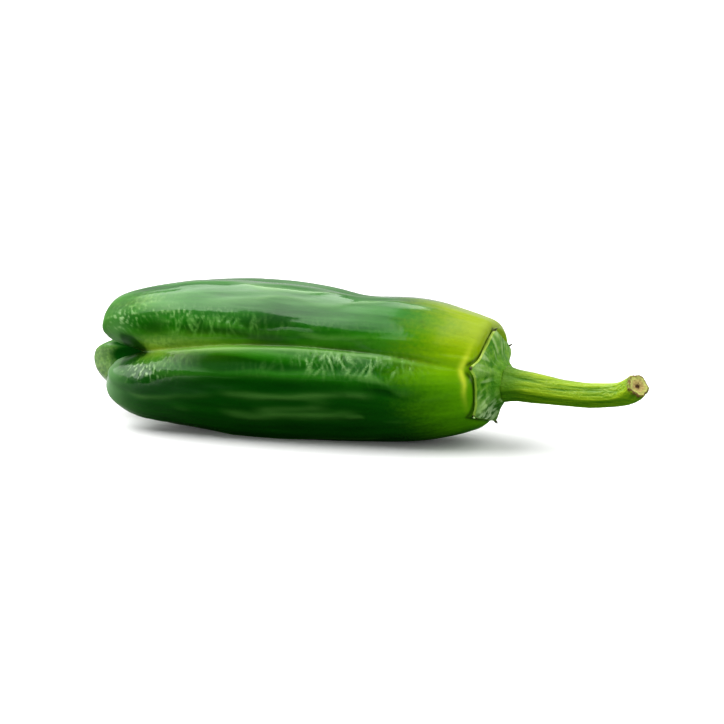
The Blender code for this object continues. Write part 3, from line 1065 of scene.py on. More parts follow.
@dataclass
class SepalTips:
    """The dried remnants of the sepals at the corners of the cap."""

    calyx: Calyx
    stubs: tuple[Stub, ...] = (
        Stub(19.0, 0.34, 0.2, (0.7, -0.6, 0.1)),
        Stub(82.0, 0.42, 0.2, (0.8, -0.1, 0.5)),
        Stub(150.0, 0.7, 0.23, (0.85, 0.4, 0.2), 0.2),
        Stub(205.0, 0.5, 0.2, (0.8, 0.5, -0.2)),
        Stub(256.0, 0.55, 0.3, (0.5, 0.2, -0.8), 0.1),
        Stub(321.0, 0.3, 0.22, (0.75, -0.5, -0.3), 0.0, 0.0),
        Stub(316.0, 0.3, 0.16, (0.6, -0.6, -0.4)),
    )
    sink: float = 0.12
    inset: float = 0.1
    blunt: float = 0.35
    segments: int = 14

    def build(self) -> bpy.types.Object:
        """Makes each remnant from a sphere that is drawn out, thinned and curled.

        Returns:
            All remnants as one object.
        """
        bm = bmesh.new()
        dried = bm.verts.layers.float.new("dried")
        for stub in self.stubs:
            root, _ = self.calyx.shape(np.array([stub.angle]), np.array([self.inset]))
            lean = Vector(stub.lean).normalized()
            side = lean.cross(Vector((0.0, 0.0, 1.0))).normalized()
            above = side.cross(lean)
            ball = bmesh.ops.create_uvsphere(
                bm, u_segments=self.segments, v_segments=self.segments, radius=1.0,
            )
            for vert in ball["verts"]:
                ahead = (vert.co.z + 1.0) / 2.0
                thin = stub.radius * (1.0 - (1.0 - self.blunt) * ahead)
                across = side * vert.co.x * thin + above * vert.co.y * thin
                along = lean * (ahead * (stub.length + self.sink) - self.sink) + above * stub.curl * ahead**2
                vert[dried] = stub.dried
                vert.co = (Vector(root[0]) + along + across) * MM
        return make_object("sepal_tips", bm)


# The stalk

@dataclass(frozen=True)
class Station:
    """A place on the stalk's centre line, from its root, and the stalk's radius there."""

    x: float
    y: float
    z: float
    radius: float


@dataclass
class Stalk:
    """The ribbed stem with its cut end."""

    shift: np.ndarray
    stations: tuple[Station, ...] = (
        Station(0.0, 0.0, 0.0, 2.9),
        Station(1.4, 0.0, -0.1, 2.55),
        Station(4.0, 0.0, -0.35, 2.35),
        Station(7.7, -0.15, -0.7, 2.12),
        Station(11.9, -0.4, -0.92, 1.95),
        Station(15.9, -0.75, -0.77, 1.85),
        Station(18.9, -1.4, -0.22, 1.85),
        Station(21.1, -2.5, 0.8, 1.9),
        Station(22.2, -3.3, 1.7, 1.88),
    )
    root: tuple[float, float, float] = (0.75, 0.0, -1.35)
    root_sink: float = 0.45
    length: float = 26.0
    lean_step: float = 0.01
    ribs: int = 5
    rib_share: float = 0.055
    rib_turn: float = 50.0
    bevel: float = 0.22
    dish: float = 0.3
    dish_ramp: Span = (1.0, 0.2)
    dish_edge: Span = (1.0, 0.8)
    segments: int = 160
    side_rings: int = 170
    end_rings: int = 26
    root_rings: int = 4
    cords: Grain = Grain(31, 7.0, 17, 0.1)
    threads: Grain = Grain(32, 5.0, 44, 0.045)
    bark: Grain = Grain(33, 0.9, 26, 0.02)
    pith: Grain = Grain(34, 0.45, 12, 0.12)
    pith_radius: float = 1.9
    cut_ramp: Span = (0.0, 0.06)
    lip_ramp: Span = (0.96, 0.995)
    groove_gain: float = 3.5
    rib_gain: float = 4.0

    def line(self, s: np.ndarray) -> tuple[np.ndarray, np.ndarray, np.ndarray]:
        """Reads the stalk's centre line.

        Args:
            s: place along it, from 0 at the root to 1 at the cut end.

        Returns:
            Centres, unit directions and radii, in mm.
        """
        table = np.array([astuple(station) for station in self.stations])
        along, _ = shares_along(table[:, :3])
        *centre, radius = (SmoothCurve(along, tuple(column)) for column in table.T)
        ahead, behind = np.minimum(s + self.lean_step, 1.0), np.maximum(s - self.lean_step, 0.0)
        lean = np.stack([curve.at(ahead) - curve.at(behind) for curve in centre], axis=1)
        lean /= np.linalg.norm(lean, axis=1)[:, None]
        return np.stack([curve.at(s) for curve in centre], axis=1), lean, radius.at(s)

    def bevelled(self, s: np.ndarray) -> np.ndarray:
        """Gives how much the round edge of the cut end takes off the radius.

        Args:
            s: place along the centre line.

        Returns:
            Lengths in mm.
        """
        left = (1.0 - s) * self.length
        rise = self.bevel * np.sqrt(np.clip(1.0 - (1.0 - left / self.bevel) ** 2, 0.0, 1.0))
        return np.where(left < self.bevel, self.bevel - rise, 0.0)

    def build(self) -> bpy.types.Object:
        """Makes the stalk from rings along its centre line, closed by the root face and the cut face.

        Returns:
            The stalk.
        """
        rings = self.root_rings + self.side_rings + self.end_rings
        sheet = Sheet(self.segments, rings)
        ring, turn = np.rint(sheet.down * rings), sheet.angle / 360.0
        s = np.clip((ring - self.root_rings) / self.side_rings, 0.0, 1.0)
        past = np.clip((ring - self.root_rings - self.side_rings) / self.end_rings, 0.0, 1.0)
        share = np.where(past > 0.0, 1.0 - past, np.minimum(ring / self.root_rings, 1.0))
        centre, lean, radius = self.line(s)
        side = np.cross(lean, [0.0, 0.0, 1.0])
        side /= np.linalg.norm(side, axis=1)[:, None]
        rib = 1.0 + self.rib_share * np.cos(np.radians(self.ribs * sheet.angle + self.rib_turn * s))
        groove = sum(grain.at(s * self.length, turn) for grain in (self.cords, self.threads, self.bark))
        r = (radius * rib + groove - self.bevelled(s)) * share
        dish = self.pith.at(share * self.pith_radius, turn) - self.dish * smooth_step(*self.dish_ramp, share)
        dish = np.where(past > 0.0, dish * smooth_step(*self.dish_edge, share), 0.0)
        dish = np.where(s <= 0.0, -self.root_sink, dish)
        turned = np.radians(sheet.angle)[:, None]
        across = side * np.cos(turned) + np.cross(side, lean) * np.sin(turned)
        points = centre + lean * dish[:, None] + across * r[:, None] + np.array(self.root) + self.shift
        fields = {
            "cut": smooth_step(*self.cut_ramp, past) * (past > 0.0),
            "share": share,
            "along": s,
            "groove": np.clip(0.5 + groove * self.groove_gain + (rib - 1.0) * self.rib_gain, 0.0, 1.0),
            "lip": smooth_step(*self.lip_ramp, s),
        }
        return sheet.finish("stalk_skin", np.clip(points, *box_in_mm(cad_bounds)), fields)


# Finishes

def from_srgb(red: int, green: int, blue: int) -> Color:
    """Turns a screen colour into the renderer's own linear colour.

    Args:
        red: 0 to 255.
        green: 0 to 255.
        blue: 0 to 255.

    Returns:
        Linear red, green, blue and an alpha of 1.
    """
    parts = []
    for value in (red, green, blue):
        v = value / 255.0
        parts.append(v / 12.92 if v <= 0.04045 else ((v + 0.055) / 1.055) ** 2.4)
    return (parts[0], parts[1], parts[2], 1.0)


@dataclass(frozen=True)
class Ramp:
    """A smooth ramp: where it starts and ends, and its results there."""

    low: Feed
    high: Feed
    to_low: float = 0.0
    to_high: float = 1.0


class NodeBench:
    """Places and joins nodes in a tree."""

    bump_strength: ClassVar[float] = 0.5

    def __init__(self, tree: bpy.types.NodeTree) -> None:
        """Keeps the tree that the nodes go into."""
        self.tree = tree

    def add(self, kind: str, **values: object) -> bpy.types.Node:
        """Adds a node.

        Args:
            kind: the node's type name.
            values: properties to set on it.

        Returns:
            The node.
        """
        node = self.tree.nodes.new(kind)
        for key, value in values.items():
            setattr(node, key, value)
        return node

    def feed(self, socket: bpy.types.NodeSocket, value: Feed) -> None:
        """Links an input to an output, or sets its plain value.

        Args:
            socket: the input.
            value: an output socket or a value.
        """
        if isinstance(value, bpy.types.NodeSocket):
            self.tree.links.new(value, socket)
        else:
            socket.default_value = value

    def field(self, name: str) -> bpy.types.NodeSocket:
        """Reads a piece's own attribute by name."""
        return self.add("ShaderNodeAttribute", attribute_name=name).outputs["Fac"]

    def math(self, operation: str, first: Feed, *others: Feed) -> Feed:
        """Joins values by one operation, two at a time.

        Args:
            operation: the operation, such as MULTIPLY.
            first: the first value or socket.
            others: the values or sockets that follow it.

        Returns:
            The result's socket.
        """
        for other in others:
            node = self.add("ShaderNodeMath", operation=operation)
            self.feed(node.inputs[0], first)
            self.feed(node.inputs[1], other)
            first = node.outputs[0]
        return first

    def ramp(self, value: Feed, ramp: Ramp) -> bpy.types.NodeSocket:
        """Adds a smooth ramp.

        Args:
            value: the value to ramp.
            ramp: the ramp's ends and results.

        Returns:
            Its output.
        """
        node = self.add("ShaderNodeMapRange", interpolation_type="SMOOTHSTEP")
        for index, number in enumerate((value, ramp.low, ramp.high, ramp.to_low, ramp.to_high)):
            self.feed(node.inputs[index], number)
        return node.outputs[0]

    def lay(self, under: Feed, over: Feed, *shares: Feed) -> bpy.types.NodeSocket:
        """Lays one colour over another.

        Args:
            under: the colour below.
            over: the colour on top.
            shares: values whose product, up to 1, is how much the top one covers.

        Returns:
            The mixed colour.
        """
        node = self.add("ShaderNodeMix", data_type="RGBA", clamp_factor=True)
        self.feed(node.inputs[0], self.math("MULTIPLY", *shares))
        self.feed(node.inputs[6], under)
        self.feed(node.inputs[7], over)
        return node.outputs[2]

    def mask(self, effect: bpy.types.NodeTree, **values: Feed) -> bpy.types.NodeSocket:
        """Places a shared effect.

        Args:
            effect: its node group.
            values: values for its inputs, by name.

        Returns:
            Its mask.
        """
        node = self.add("ShaderNodeGroup", node_tree=effect)
        for key, value in values.items():
            self.feed(node.inputs[key], value)
        return node.outputs["Mask"]

    def bump(self, shader: bpy.types.Node, distance: float, height: Feed) -> None:
        """Gives a shader fine bumps.

        Args:
            shader: the Principled shader.
            distance: how high they stand, in metres.
            height: the mask of their shape.
        """
        bump = self.add("ShaderNodeBump")
        bump.inputs["Strength"].default_value = self.bump_strength
        bump.inputs["Distance"].default_value = distance
        self.feed(bump.inputs["Height"], height)
        self.feed(shader.inputs["Normal"], bump.outputs["Normal"])


def start_effect(name: str, inputs: dict[str, float]) -> tuple[NodeBench, bpy.types.Node]:
    """Starts a node group that gives one mask.

    Args:
        name: its name.
        inputs: its inputs, by name, with their plain values.

    Returns:
        The group's bench and the node with its inputs.
    """
    tree = bpy.data.node_groups.new(name, "ShaderNodeTree")
    for key, default in inputs.items():
        socket = tree.interface.new_socket(key, in_out="INPUT", socket_type="NodeSocketFloat")
        socket.default_value = default
    tree.interface.new_socket("Mask", in_out="OUTPUT", socket_type="NodeSocketFloat")
    bench = NodeBench(tree)
    return bench, bench.add("NodeGroupInput")


def finish_effect(bench: NodeBench, given: bpy.types.Node, noise: bpy.types.Node) -> bpy.types.NodeTree:
    """Sharpens a noise by the group's contrast and makes it the group's mask.

    Args:
        bench: the group's bench.
        given: the node with its inputs.
        noise: the noise.

    Returns:
        The group.
    """
    contrast = given.outputs["Contrast"]
    ends = Ramp(bench.math("SUBTRACT", 0.5, contrast), bench.math("ADD", 0.5, contrast))
    result = bench.add("NodeGroupOutput")
    bench.feed(result.inputs["Mask"], bench.ramp(noise.outputs["Fac"], ends))
    return bench.tree


def streaks_effect() -> bpy.types.NodeTree:
    """Makes the effect for fibres and streaks that run along the pepper.

    Returns:
        A group with the inputs Along, Across, Detail and Contrast.
    """
    inputs = {"Along": 60.0, "Across": 900.0, "Detail": 3.0, "Contrast": 0.3}
    bench, given = start_effect("long_streaks", inputs)
    scale = bench.add("ShaderNodeCombineXYZ")
    for index, name in enumerate(("Along", "Across", "Across")):
        bench.feed(scale.inputs[index], given.outputs[name])
    stretch = bench.add("ShaderNodeVectorMath", operation="MULTIPLY")
    bench.feed(stretch.inputs[0], bench.add("ShaderNodeTexCoord").outputs["Object"])
    bench.feed(stretch.inputs[1], scale.outputs[0])
    noise = bench.add("ShaderNodeTexNoise")
    noise.inputs["Scale"].default_value = 1.0
    noise.inputs["Roughness"].default_value = 0.55
    bench.feed(noise.inputs["Vector"], stretch.outputs[0])
    bench.feed(noise.inputs["Detail"], given.outputs["Detail"])
    return finish_effect(bench, given, noise)


def specks_effect() -> bpy.types.NodeTree:
    """Makes the effect for small even specks and pores.

    Returns:
        A group with the inputs Scale and Contrast.
    """
    bench, given = start_effect("specks", {"Scale": 2500.0, "Contrast": 0.25})
    noise = bench.add("ShaderNodeTexNoise")
    noise.inputs["Detail"].default_value = 2.0
    bench.feed(noise.inputs["Vector"], bench.add("ShaderNodeTexCoord").outputs["Object"])
    bench.feed(noise.inputs["Scale"], given.outputs["Scale"])
    return finish_effect(bench, given, noise)


@dataclass(frozen=True)
class Effects:
    """The node groups that the finishes share."""

    streaks: bpy.types.NodeTree
    specks: bpy.types.NodeTree


def new_material(name: str) -> tuple[bpy.types.Material, NodeBench, bpy.types.Node]:
    """Starts a material.

    Args:
        name: its name.

    Returns:
        The material, its bench and its Principled shader.
    """
    material = bpy.data.materials.new(name)
    material.use_nodes = True
    return material, NodeBench(material.node_tree), material.node_tree.nodes["Principled BSDF"]


@dataclass(frozen=True)
class SkinMasks:
    """The masks that the pod's colours are broken up by: wide and thin streaks, specks and finer specks."""

    wide: bpy.types.NodeSocket
    thin: bpy.types.NodeSocket
    specks: bpy.types.NodeSocket
    fine: bpy.types.NodeSocket


@dataclass(frozen=True)
class PodSkin:
    """Waxy skin: deep green, lime near the calyx, yellowish along the front furrow near the tip."""

    deep: tuple[float, ...] = from_srgb(8, 80, 3)
    green: tuple[float, ...] = from_srgb(42, 122, 8)
    # Painted shading: the dark green laid on faces that point down, in the grooves of the relief and in the
    # shading patches.
    under: tuple[float, ...] = from_srgb(1, 60, 0)
    # Paler green: ridge tops partly waxy, and painted highlights on flecks, raised lines and the crease's
    # lower lip.
    pale: tuple[float, ...] = from_srgb(124, 170, 92)
    glint: tuple[float, ...] = from_srgb(170, 200, 150)
    furrow: tuple[float, ...] = from_srgb(140, 160, 30)
    lime: tuple[float, ...] = from_srgb(141, 164, 2)
    olive: tuple[float, ...] = from_srgb(104, 160, 2)
    # Paler mottling, partly painted light on the lit lobe tips.
    blush: tuple[float, ...] = from_srgb(132, 172, 72)
    # Painted sheen on the lobe tips.
    bloom: tuple[float, ...] = from_srgb(122, 166, 112)
    # Painted highlight on the pod's lip beside the cap.
    lip: tuple[float, ...] = from_srgb(214, 220, 70)
    # Painted shading in the pit and the hollows between the lobe tips.
    pit: tuple[float, ...] = from_srgb(3, 58, 2)
    # Painted shadow under the cap's edge.
    seat: tuple[float, ...] = from_srgb(40, 62, 8)
    # Painted sheen: a greyish paling laid on the faces that point up.
    top_sheen: tuple[float, ...] = from_srgb(200, 186, 200)
    wide_share: float = 0.75
    thin_share: float = 0.25
    underside_shade: Ramp = Ramp(0.53, 0.4, 0.0, 0.7)
    valley_shade: Ramp = Ramp(0.42, 0.1, 0.0, 0.8)
    crest_wax_and_highlight: Ramp = Ramp(0.6, 1.0, 0.0, 0.35)
    blush_specks: Ramp = Ramp(0.0, 1.0, 0.35, 0.75)
    fleck_highlight_specks: Ramp = Ramp(0.0, 1.0, 0.25, 0.6)
    glint_specks: Ramp = Ramp(0.0, 1.0, 0.3, 0.7)
    line_light: Ramp = Ramp(0.5, 0.35, 0.08, 0.27)
    shade_share: float = 0.85
    furrow_start: Ramp = Ramp(0.5, 0.86, 0.2, 1.0)
    furrow_base: float = 0.4
    furrow_share: float = 0.8
    edge_highlight_share: float = 0.4
    shoulder: Ramp = Ramp(0.25, 0.045)
    shoulder_sag: Ramp = Ramp(0.9, 0.2, 0.0, 0.01)
    shoulder_streaks: float = 0.06
    shoulder_specks: float = 0.02
    shoulder_light: Ramp = Ramp(0.42, 0.95)
    lip_highlight_share: float = 0.8
    top_sheen_ramp: Ramp = Ramp(0.82, 0.92, 0.0, 0.04)
    seat_shadow_share: float = 0.85
    specular: float = 0.03
    roughness: float = 0.3
    speck_roughness: float = 0.04
    wrinkled_roughness: float = 0.1
    pit_roughness: float = 0.6
    coat: Ramp = Ramp(0.0, 1.0, 0.6, 1.0)
    coat_roughness: float = 0.13
    bump_distance: float = 0.0001
    thin_bump: float = 0.12
    speck_bump: float = 0.1
    fine_bump: float = 0.15

    def ground(self, bench: NodeBench, masks: SkinMasks) -> Feed:
        """Mixes the plain greens, with painted shading underneath and in the grooves of the relief, and paler
        ridge tops.

        Args:
            bench: the material's bench.
            masks: the masks that break the colours up.

        Returns:
            The colour.
        """
        relief = bench.field("relief")
        color = bench.lay(self.deep, self.green, masks.wide, self.wide_share)
        color = bench.lay(color, self.green, masks.thin, self.thin_share)
        # Painted shading: darker on the faces that point down.
        color = bench.lay(color, self.under, bench.ramp(bench.field("upward"), self.underside_shade))
        # Painted shading in the grooves of the relief.
        color = bench.lay(color, self.under, bench.ramp(relief, self.valley_shade))
        # Ridge tops paler: partly waxy, partly painted highlight.
        return bench.lay(color, self.pale, bench.ramp(relief, self.crest_wax_and_highlight))

    def marked(self, bench: NodeBench, masks: SkinMasks, color: Feed) -> Feed:
        """Adds paler mottling that is partly painted light, a painted sheen on the tips, painted highlights
        on the flecks, raised lines and the crease's lower lip, painted shading, and the yellow of the front
        furrow.

        Args:
            bench: the material's bench.
            masks: the masks that break the colours up.
            color: the colour so far.

        Returns:
            The colour.
        """
        speckled = bench.ramp(masks.specks, self.blush_specks)
        # Paler mottling, partly painted light on the lit lobe tips.
        color = bench.lay(color, self.blush, bench.field("blush"), speckled)
        # Painted sheen on the lobe tips.
        color = bench.lay(color, self.bloom, bench.field("bloom"))
        # Painted highlights on the tops of the strokes and flecks.
        speckled = bench.ramp(masks.specks, self.fleck_highlight_specks)
        color = bench.lay(color, self.pale, bench.field("fleck"), speckled)
        # Painted highlight streaks along the raised lines, stronger on the lower faces.
        lit = bench.ramp(bench.field("upward"), self.line_light)
        color = bench.lay(color, self.pale, bench.field("line"), lit)
        # Painted shading from the patches, with two small real dark specks.
        color = bench.lay(color, self.under, bench.field("shade"), self.shade_share)
        near_tip = bench.ramp(bench.field("along"), self.furrow_start)
        broken = bench.math("ADD", masks.wide, self.furrow_base)
        color = bench.lay(color, self.furrow, bench.field("crease"), near_tip, broken, self.furrow_share)
        # Painted highlight on the lower lip of the front crease.
        return bench.lay(color, self.pale, bench.field("edge"), self.edge_highlight_share)

    def shouldered(self, bench: NodeBench, masks: SkinMasks, color: Feed) -> Feed:
        """Adds the lime end near the calyx, with a ragged border, and the painted highlight on the lip beside
        the cap.

        Args:
            bench: the material's bench.
            masks: the masks that break the colours up.
            color: the colour so far.

        Returns:
            The colour.
        """
        upward = bench.field("upward")
        streaks = bench.math("MULTIPLY", bench.math("SUBTRACT", masks.wide, 0.5), self.shoulder_streaks)
        specks = bench.math("MULTIPLY", bench.math("SUBTRACT", masks.specks, 0.5), self.shoulder_specks)
        sag = bench.ramp(upward, self.shoulder_sag)
        border = bench.math("ADD", bench.field("along"), streaks, specks, sag)
        lime = bench.lay(self.olive, self.lime, bench.ramp(upward, self.shoulder_light))
        color = bench.lay(color, lime, bench.ramp(border, self.shoulder))
        # Painted highlight on the lip beside the cap.
        return bench.lay(color, self.lip, bench.field("lip"), self.lip_highlight_share)

    def color(self, bench: NodeBench, masks: SkinMasks) -> Feed:
        """Mixes the whole colour.

        Args:
            bench: the material's bench.
            masks: the masks that break the colours up.

        Returns:
            The colour.
        """
        color = self.shouldered(bench, masks, self.marked(bench, masks, self.ground(bench, masks)))
        glint = bench.ramp(masks.fine, self.glint_specks)
        color = bench.lay(color, self.glint, bench.field("glint"), bench.field("fleck"), glint)
        # Painted sheen greys the faces that point up.
        color = bench.lay(color, self.top_sheen, bench.ramp(bench.field("upward"), self.top_sheen_ramp))
        # Painted shadow under the cap's edge.
        color = bench.lay(color, self.seat, bench.field("seat"), self.seat_shadow_share)
        # Painted shading in the pit and the hollows.
        return bench.lay(color, self.pit, bench.math("MAXIMUM", bench.field("pit"), bench.field("hollow")))

    def material(self, effects: Effects) -> bpy.types.Material:
        """Makes the skin.

        Args:
            effects: the shared node groups.

        Returns:
            The material.
        """
        material, bench, shader = new_material("pod_skin")
        masks = SkinMasks(
            wide=bench.mask(effects.streaks, Along=45.0, Across=330.0, Detail=3.0, Contrast=0.22),
            thin=bench.mask(effects.streaks, Along=110.0, Across=1500.0, Detail=2.0, Contrast=0.25),
            specks=bench.mask(effects.specks, Scale=1500.0, Contrast=0.2),
            fine=bench.mask(effects.specks, Scale=3000.0, Contrast=0.25),
        )
        wrinkled, pit = bench.field("wrinkled"), bench.field("pit")
        bench.feed(shader.inputs["Base Color"], self.color(bench, masks))
        rough = bench.math(
            "ADD", self.roughness, bench.math("MULTIPLY", masks.specks, self.speck_roughness),
            bench.math("MULTIPLY", wrinkled, self.wrinkled_roughness),
            bench.math("MULTIPLY", pit, self.pit_roughness),
        )
        bench.feed(shader.inputs["Roughness"], rough)
        dull = bench.math("MAXIMUM", bench.field("dull"), bench.field("hollow"))
        coat = bench.math(
            "MULTIPLY", bench.ramp(masks.wide, self.coat), bench.math("SUBTRACT", 1.0, dull),
            bench.math("SUBTRACT", 1.0, pit),
        )
        bench.feed(shader.inputs["Coat Weight"], coat)
        shader.inputs["Coat Roughness"].default_value = self.coat_roughness
        shader.inputs["Specular IOR Level"].default_value = self.specular
        height = bench.math(
            "ADD", bench.math("MULTIPLY", masks.thin, self.thin_bump),
            bench.math("MULTIPLY", masks.specks, self.speck_bump),
            bench.math("MULTIPLY", masks.fine, wrinkled, self.fine_bump),
        )
        bench.bump(shader, self.bump_distance, height)
        return material


@dataclass(frozen=True)
class CalyxSkin:
    """Matte green cap with whitish veins and a pale rim that is a painted highlight, and its dried remnants.
    """

    green: tuple[float, ...] = from_srgb(118, 166, 50)
    dark: tuple[float, ...] = from_srgb(66, 128, 12)
    pale: tuple[float, ...] = from_srgb(176, 206, 120)
    vein: tuple[float, ...] = from_srgb(184, 208, 148)
    stalk: tuple[float, ...] = from_srgb(128, 172, 26)
    # The cap's own pale mottle below the stalk.
    bloom: tuple[float, ...] = from_srgb(222, 232, 200)
    shaded: tuple[float, ...] = from_srgb(46, 88, 14)
    # Painted highlight along the cap's edge.
    rim: tuple[float, ...] = from_srgb(184, 204, 78)
    dried: tuple[float, ...] = from_srgb(52, 46, 26)
    ridge_share: float = 0.4
    vein_share: float = 0.55
    bloom_specks: Ramp = Ramp(0.1, 0.9, 0.25, 1.0)
    shaded_specks: Ramp = Ramp(0.6, 0.2, 0.0, 0.75)
    core_specks: Ramp = Ramp(0.0, 1.0, 0.9, 0.4)
    collar_share: float = 0.4
    rim_highlight_share: float = 0.55
    corner_ramp: Ramp = Ramp(0.8, 0.97)
    specular: float = 0.3
    roughness: float = 0.48
    fine_roughness: float = 0.15
    bump_distance: float = 0.00008
    dried_specks: float = 0.2
    dried_roughness: float = 0.7

    def material(self, effects: Effects) -> bpy.types.Material:
        """Makes the cap's finish.

        Args:
            effects: the shared node groups.

        Returns:
            The material.
        """
        material, bench, shader = new_material("calyx_skin")
        specks = bench.mask(effects.specks, Scale=900.0, Contrast=0.2)
        fine = bench.mask(effects.specks, Scale=3600.0, Contrast=0.2)
        below = bench.field("below")
        color = bench.lay(self.dark, self.green, specks)
        color = bench.lay(color, self.pale, bench.field("ridge"), self.ridge_share)
        color = bench.lay(color, self.vein, bench.field("vein"), self.vein_share)
        color = bench.lay(color, self.bloom, below, bench.ramp(specks, self.bloom_specks))
        color = bench.lay(color, self.shaded, below, bench.ramp(specks, self.shaded_specks))
        # Painted shading round the stalk's root.
        color = bench.lay(color, self.dark, bench.field("core"), bench.ramp(specks, self.core_specks))
        color = bench.lay(color, self.stalk, bench.field("collar"), self.collar_share)
        # Painted highlight along the cap's edge.
        color = bench.lay(color, self.rim, bench.field("rim"), self.rim_highlight_share)
        color = bench.lay(color, self.dried, bench.ramp(bench.field("corner"), self.corner_ramp))
        bench.feed(shader.inputs["Base Color"], color)
        rough = bench.math("ADD", bench.math("MULTIPLY", fine, self.fine_roughness), self.roughness)
        bench.feed(shader.inputs["Roughness"], rough)
        shader.inputs["Specular IOR Level"].default_value = self.specular
        bench.bump(shader, self.bump_distance, fine)
        return material

    def dried_material(self, effects: Effects) -> bpy.types.Material:
        """Makes the finish of the dried remnants.

        Args:
            effects: the shared node groups.

        Returns:
            The material.
        """
        material, bench, shader = new_material("sepal_dried")
        fine = bench.mask(effects.specks, Scale=5200.0, Contrast=0.2)
        color = bench.lay(self.vein, self.dried, bench.field("dried"))
        color = bench.lay(color, self.pale, fine, self.dried_specks)
        bench.feed(shader.inputs["Base Color"], color)
        shader.inputs["Roughness"].default_value = self.dried_roughness
        return material


@dataclass(frozen=True)
class StalkSkin:
    """Yellow-green ribbed stem, browned at the cut, with a pale pith and a dark heart."""

    light: tuple[float, ...] = from_srgb(160, 181, 36)
    green: tuple[float, ...] = from_srgb(138, 171, 22)
    dark: tuple[float, ...] = from_srgb(70, 118, 4)
    root: tuple[float, ...] = from_srgb(84, 132, 26)
    brown: tuple[float, ...] = from_srgb(112, 84, 48)
    ring: tuple[float, ...] = from_srgb(192, 197, 112)
    pith: tuple[float, ...] = from_srgb(190, 172, 110)
    heart: tuple[float, ...] = from_srgb(84, 56, 30)
    ridges: Ramp = Ramp(0.55, 0.95, 0.0, 0.7)
    fibre_share: float = 0.55
    root_ramp: Ramp = Ramp(0.2, 0.03, 0.0, 0.8)
    lip_base: float = 0.3
    pith_ramp: Ramp = Ramp(0.5, 0.85)
    skin_ramp: Ramp = Ramp(0.9, 1.0)
    heart_ramp: Ramp = Ramp(0.5, 0.25)
    heart_specks: float = 0.2
    face_specks: float = 0.35
    specular: float = 0.35
    roughness: float = 0.42
    cut_roughness: float = 0.3
    bump_distance: float = 0.00008

    def cut_face(self, bench: NodeBench, specks: Feed) -> Feed:
        """Mixes the colour of the cut end: a dark heart in pale pith, a light ring and brown skin.

        Args:
            bench: the material's bench.
            specks: the mask of specks.

        Returns:
            The colour.
        """
        share = bench.field("share")
        face = bench.lay(self.pith, self.ring, bench.ramp(share, self.pith_ramp))
        face = bench.lay(face, self.brown, bench.ramp(share, self.skin_ramp))
        ragged = bench.math("ADD", share, bench.math("MULTIPLY", specks, self.heart_specks))
        face = bench.lay(face, self.heart, bench.ramp(ragged, self.heart_ramp))
        return bench.lay(face, self.brown, specks, self.face_specks)

    def material(self, effects: Effects) -> bpy.types.Material:
        """Makes the stem's finish.

        Args:
            effects: the shared node groups.

        Returns:
            The material.
        """
        material, bench, shader = new_material("stalk_skin")
        fibres = bench.mask(effects.streaks, Along=160.0, Across=2600.0, Detail=2.0, Contrast=0.2)
        specks = bench.mask(effects.specks, Scale=2200.0, Contrast=0.15)
        cut, groove = bench.field("cut"), bench.field("groove")
        color = bench.lay(self.dark, self.green, groove)
        color = bench.lay(color, self.light, bench.ramp(groove, self.ridges))
        color = bench.lay(color, self.light, fibres, self.fibre_share)
        color = bench.lay(color, self.root, bench.ramp(bench.field("along"), self.root_ramp))
        color = bench.lay(color, self.brown, bench.field("lip"), bench.math("ADD", specks, self.lip_base))
        color = bench.lay(color, self.cut_face(bench, specks), cut)
        bench.feed(shader.inputs["Base Color"], color)
        rough = bench.math("ADD", bench.math("MULTIPLY", cut, self.cut_roughness), self.roughness)
        bench.feed(shader.inputs["Roughness"], rough)
        shader.inputs["Specular IOR Level"].default_value = self.specular
        bench.bump(shader, self.bump_distance, bench.math("ADD", fibres, specks))
        return material


# The studio

@dataclass(frozen=True)
class Softbox:
    """A soft rectangular lamp, which shows in gloss or only gives light."""

    name: str
    place: tuple[float, float, float]
    target: tuple[float, float, float]
    width: float
    height: float
    brightness: float
    mirrored: bool = True

    def build(self) -> None:
        """Makes the lamp and aims it."""
        lamp = bpy.data.lights.new(self.name, "AREA")
        lamp.shape = "RECTANGLE"
        lamp.size, lamp.size_y = self.width, self.height
        lamp.energy = self.brightness * math.pi * self.width * self.height
        holder = bpy.data.objects.new(self.name, lamp)
        holder.location = self.place
        holder.visible_glossy = self.mirrored
        aim = Vector(self.target) - Vector(self.place)
        holder.rotation_euler = aim.to_track_quat("-Z", "Y").to_euler()
        bpy.context.scene.collection.objects.link(holder)


